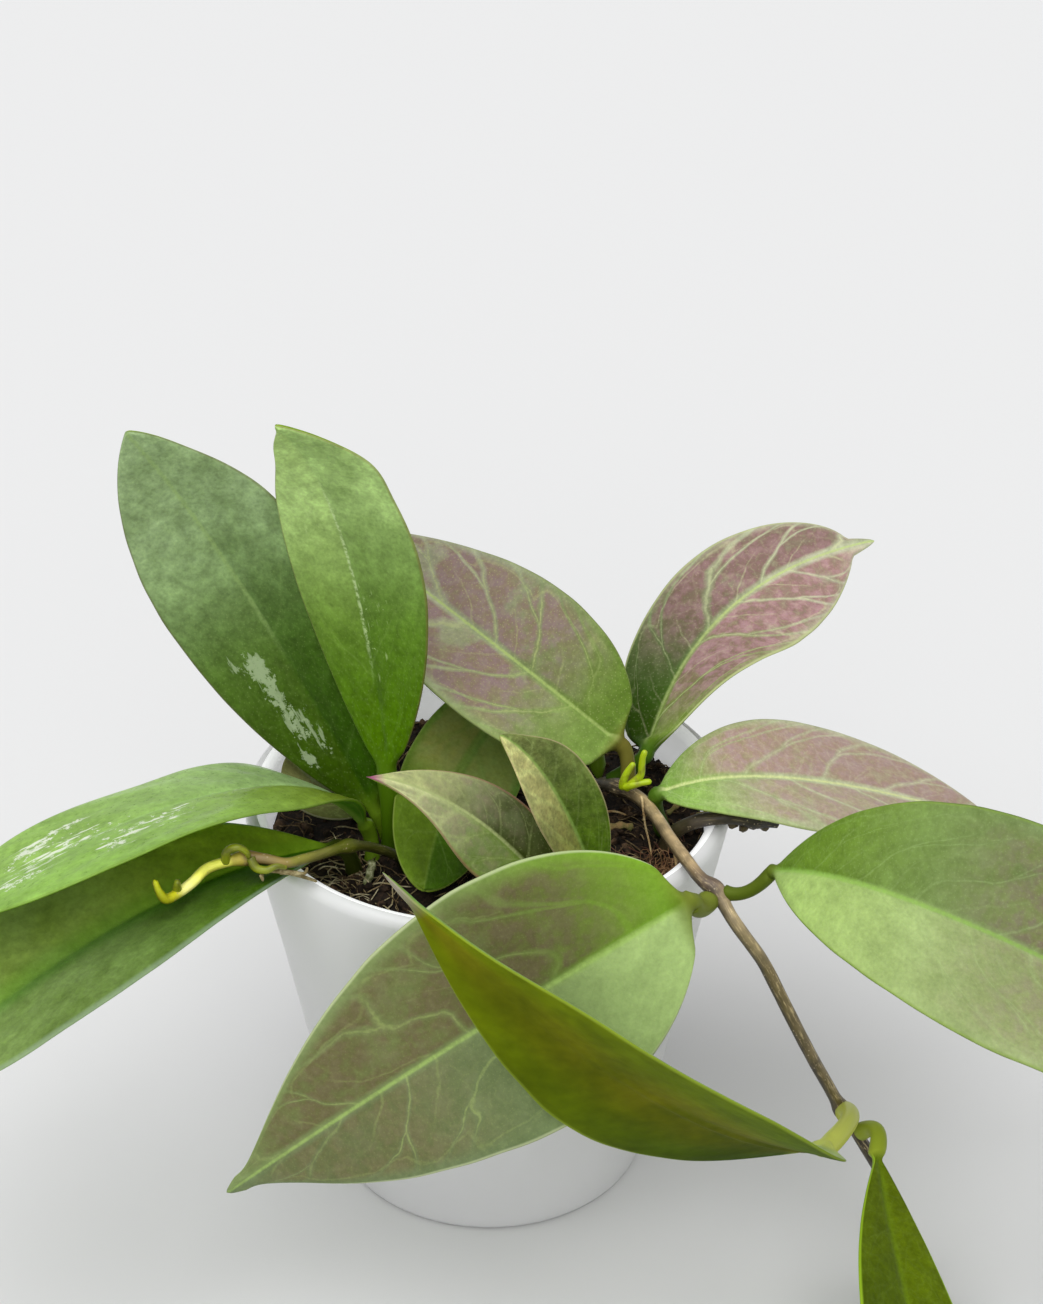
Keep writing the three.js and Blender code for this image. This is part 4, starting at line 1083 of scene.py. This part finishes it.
def growStem(name, stem, skin, node, seed):
    knots = [Vector(stem["route"][k]) for k in stem["knots"]]
    line, length = smoothRoute(stem["route"], 0.6)
    bm = bmesh.new()
    bm.verts.layers.float_vector.new("stemPlace")
    paintedLightSide = bm.verts.layers.float.new("stemPaintedLight")
    mark = bm.verts.layers.float_vector["stemPlace"]

    def radiusAt(run, length, angle):
        point = line[min(len(line) - 1, round(run / length * (len(line) - 1)))][0]
        swell = max([math.exp(-((point - knot).length / 2) ** 2) for knot in knots])
        rough = noise.noise(Vector((math.cos(angle) * 1.2, math.sin(angle) * 1.2, run * 0.22 + seed)))
        slim = between(1, stem.get("taper", 1), ease(run, length - 6, length))
        return between(*stem["radius"], run / length) * slim * (1 + 0.5 * swell + 0.07 * rough)

    tube(bm, stem["route"], 0.6, 24, radiusAt, mark, paintedLightSide)
    settle(bm, name, [skin, skin], node)


def growStems():
    bark = stemSkin("fibrousBark", barkStops, "#c2ae84", 0.6, (0.6, 1.2))
    growStem("trailingStem", trailingStem, bark, "stem_trailing", 1.0)
    young = stemSkin("youngBark", youngStops, "#8a7a4a", 0.2, (0.85, 1.1))
    growStem("leftStem", leftStem, young, "stem_left", 4.0)
    dead = stemSkin("driedBark", deadStops, "#8a7c58", 0.5, (0.6, 1.2))
    growStem("cutStem", cutStem, dead, "stem_cut", 7.0)


# Sprouts: young, smooth and yellow green, with blunt tips
sprouts = {
    "routes": [
        [(24.6, -5.6, 84.2), (24.6, -6.0, 85.6), (25.2, -6.1, 87.6), (26.6, -6, 89.9)],
        [(25.0, -6.2, 84.4), (26.5, -6.8, 86.3), (27.7, -7, 87.8), (27.9, -7, 90.2), (28.0, -7, 91.6), (28.5, -7, 93.2)],
        [(24.8, -6.2, 84.8), (26.2, -7.2, 85.8), (28.0, -7.3, 86.4), (29.8, -7.4, 86.7)],
    ],
    "radius": (0.8, 0.55),
}


def sproutSkin(name, fresh, tinge):
    skin, add, shader = newSkin(
        name, IOR=1.45, Roughness=0.38, Subsurface_Weight=0.2, Subsurface_Radius=(0.8, 1.0, 0.2),
        Subsurface_Scale=0.6 * mm)
    clouds = add("TexNoise", {"Vector": add("TexCoord", out=3), "Scale": 420.0, "Detail": 3.0})
    share = add("MapRange", {0: clouds, 1: 0.4, 2: 0.68}, **smooth)
    plug(shader, {"Base Color": add("Mix", {0: share, 6: linear(fresh), 7: linear(tinge)}, **blend)})
    return skin


def growSprouts():
    def radiusAt(run, length, angle):
        end = math.sqrt(max(0.0, 1 - ease(run, length - 0.9, length + 0.1) ** 2))
        return between(*sprouts["radius"], run / length) * (0.25 + 0.75 * end)

    skin = sproutSkin("youngSprout", "#b3cc12", "#8a8a2a")
    strands("sproutCluster", sprouts["routes"], 0.25, 16, radiusAt, skin, "sprouts")


# Growing end: a bud between two young leaves, on the surface in front of the pot
growingEnd = {
    "route": [(106, -78, 2.2), (108, -78.8, 3), (109.6, -79.4, 3.9), (111, -80, 5)],
    "joint": (108, -78.8, 3),
    "tips": [(117.5, -74, 7.5), (114, -89, 7)],
    "arch": 1.2,
}
youngLeaf = {
    "slot": "young_growth", "face": (0, 0, 1), "width": 6, "rise": 0.7, "fall": 0.9, "fold": 8, "stalk": 0.6,
    "veins": {"apart": 3, "slope": 1.2, "sweep": 1}, "wave": 0.2, "puff": 0.2,
    "look": {
        **leafLook, "base": "#7a8a30", "tip": "#8a5a3a", "blotch": "#7a4030", "blotchLeft": 0.6, "blotchRight": 0.6,
        "midribWidth": (0.5, 0.2), "marginAndGlint": "#8a4a3a", "stalkColour": "#7a7a30", "veinAmount": 0.3,
    },
    "under": {**underLook, "base": "#7a7a34", "tip": "#7a5a34"},
}


def growEnd():
    joint = Vector(growingEnd["joint"])
    for k, tip in enumerate(growingEnd["tips"]):
        tip, letter = Vector(tip), "AB"[k]
        leaf = {
            **youngLeaf, "name": "youngLeaf" + letter, "foot": joint, "base": joint.lerp(tip, 0.15),
            "middle": joint.lerp(tip, 0.55) + Vector((0, 0, growingEnd["arch"])), "tip": tip,
        }
        dressLeaf(leaf, ("youngUpper" + letter, "youngUnder" + letter), (tip - joint).length, 30 + k, 21)
    strands(
        "endBud", [growingEnd["route"]], 0.25, 16,
        lambda run, length, angle: between(1.1, 0.35, (run / length) ** 1.5),
        sproutSkin("budScale", "#9cae2a", "#8a6a3a"), "growing_end")


# Root threads, and the buds and dry scraps that cling to the left stem
clinging = {
    "buds": [
        [
            (-45.4, -34.0, 88.0), (-45.2, -34.6, 90.2), (-44.2, -34.8, 91.4), (-42.8, -34.8, 91.5),
            (-41.7, -34.6, 90.5), (-41.4, -34, 89),
        ],
        [
            (-41.2, -33.6, 88.8), (-40.2, -34.6, 87.2), (-38.5, -34.8, 86.8), (-36.6, -34.2, 87.2),
            (-34.9, -33.6, 86.6),
        ],
        [(-53.4, -39.6, 86.4), (-53.2, -40.4, 87.9), (-53.0, -40.6, 88.9)],
    ],
    "budRadius": 0.88,
    "scales": [
        [
            (-38.6, -34.4, 86.7), (-36.5, -33.9, 86.1), (-34.4, -33.4, 85.2), (-32.2, -32.6, 83.8),
            (-29.9, -31.8, 82.2),
        ],
        [(-36.4, -34.0, 86.0), (-33.6, -33.4, 85.2), (-32.0, -33.0, 84.8), (-31.4, -32.8, 86)],
        [(-39.4, -34.8, 86.2), (-39.0, -35.6, 84.9)],
    ],
    "scaleRadius": 0.4,
}
threads = {
    "routes": [
        [
            (27.6, -8.0, 84.2), (27.9, -9.6, 84.3), (28.1, -10.2, 82.6), (28.6, -10.2, 78.9), (29.4, -10.8, 75.4),
            (30, -13.6, 72.2),
        ],
        [(31.2, -4.0, 82.4), (30.9, -4.2, 80.6), (30.6, -4.0, 78.6), (31.2, -1, 75.2), (31.5, 2.1, 71.8)],
        [(29.6, -3.4, 78), (29.8, -0.5, 75.5), (28.6, 1.5, 72)],
        [(33, -22, 81.6), (33.4, -23, 78), (32.4, -24.5, 74.5), (33, -25.5, 71.8)],
        [(21.3, 3.4, 73), (23.8, 2.6, 73.6), (26.2, 2.3, 72.8)],
    ],
    "radius": 0.2, "peg": [(-20.9, -17.4, 76.8), (-21.4, -17.8, 74.4), (-22.2, -18.0, 71.5)], "pegRadius": 0.75,
    "tuft": {"at": (31.5, -16.5), "spread": 4, "count": 80, "height": 3.5, "radius": 0.08},
    "lumps": [
        ((44.4, -13, 81.2), 1.0), ((46.4, -12.6, 80.1), 1.0), ((47.8, -12.5, 80.9), 1.1), ((50.2, -12.1, 80), 1.0),
        ((51.6, -12, 80.9), 1.0),
    ],
    "chips": [
        ((35.6, -2.9, 73.2), (41.0, 0.6, 74.6), 0.9), ((22.0, -1.5, 72.8), (27.0, -2.6, 73.4), 0.8),
        ((33.4, 3.0, 72.6), (37.6, 6.6, 73.6), 0.6),
    ],
}


def growThreads():
    def flat(run, length, angle):
        return clinging["scaleRadius"] * (0.5 + abs(math.cos(angle))) * between(1, 0.4, run / length)

    bud, root = tapered(clinging["budRadius"], 1, 0.55), tapered(threads["radius"], 1.2, 0.8)
    strands("stemBuds", clinging["buds"], 0.25, 12, bud, sproutSkin("stemBud", "#8f9a1c", "#6d7224"))
    skin = peatSkin("dryScale", "#7a6c46", "#c8bc90", 500.0)
    strands("dryScales", clinging["scales"], 0.3, 8, flat, skin)
    skin = peatSkin("rootThread", "#a58458", "#dcc896", 300.0)
    strands("rootThreads", threads["routes"], 0.5, 8, root, skin)
    tuft, routes = threads["tuft"], []
    for k in range(tuft["count"]):
        x, y = [random.gauss(centre, tuft["spread"] * 0.5) for centre in tuft["at"]]
        angle, lean = random.uniform(0, 6.28), random.uniform(0.5, 2.5)
        rise = random.uniform(0.2, 1) * tuft["height"]
        routes.append([
            (x + math.cos(angle) * lean * j + random.uniform(-0.6, 0.6),
             y + math.sin(angle) * lean * j + random.uniform(-0.6, 0.6),
             soil["level"] + rise * (1 - (j - 1) ** 2) + 0.2)
            for j in (0, 0.7, 1.4, 2)
        ])
    skin = peatSkin("driedRoot", "#7c5a3c", "#c8a478", 300.0)
    strands("rootTuft", routes, 0.9, 4, tapered(tuft["radius"], 1, 1), skin)
    bm = bmesh.new()
    for start, end, size in threads["chips"]:
        def rough(run, length, angle):
            return size * (0.45 + 0.55 * abs(math.cos(angle))) * (0.8 + 0.2 * math.sin(run * 3))
        middle = [between(a, b, 0.5) + 0.3 for a, b in zip(start, end)]
        tube(bm, [start, middle, end], 0.4, 10, rough)
    skin = peatSkin("barkChip", "#6a6a3a", "#a8895c", 260.0)
    settle(bm, "barkChips", [skin, skin])
    bm = bmesh.new()
    for centre, size in threads["lumps"]:
        place = Matrix.Translation(Vector(centre) * mm)
        made = bmesh.ops.create_icosphere(bm, subdivisions=2, radius=size * mm, matrix=place)["verts"]
        for vert in made:
            vert.co += noise.noise_vector(vert.co * 900) * 0.5 * size * mm
    settle(bm, "cutLumps", [bpy.data.materials["driedBark"]])
    strands(
        "rootPeg", [threads["peg"]], 0.3, 12,
        lambda run, length, angle: threads["pegRadius"] + 0.12 * math.sin(run * 3 + angle),
        peatSkin("paleRoot", "#6f7548", "#c9c9a4", 900.0))


setCamera(camera)
setStudio(studio)
print("camera and studio set")
throwPot()
print("pot thrown")
fillSoil()
print("soil filled")
growLeaves()
print("leaves grown")
growStems()
growSprouts()
growEnd()
growThreads()
print("stems and small pieces grown")
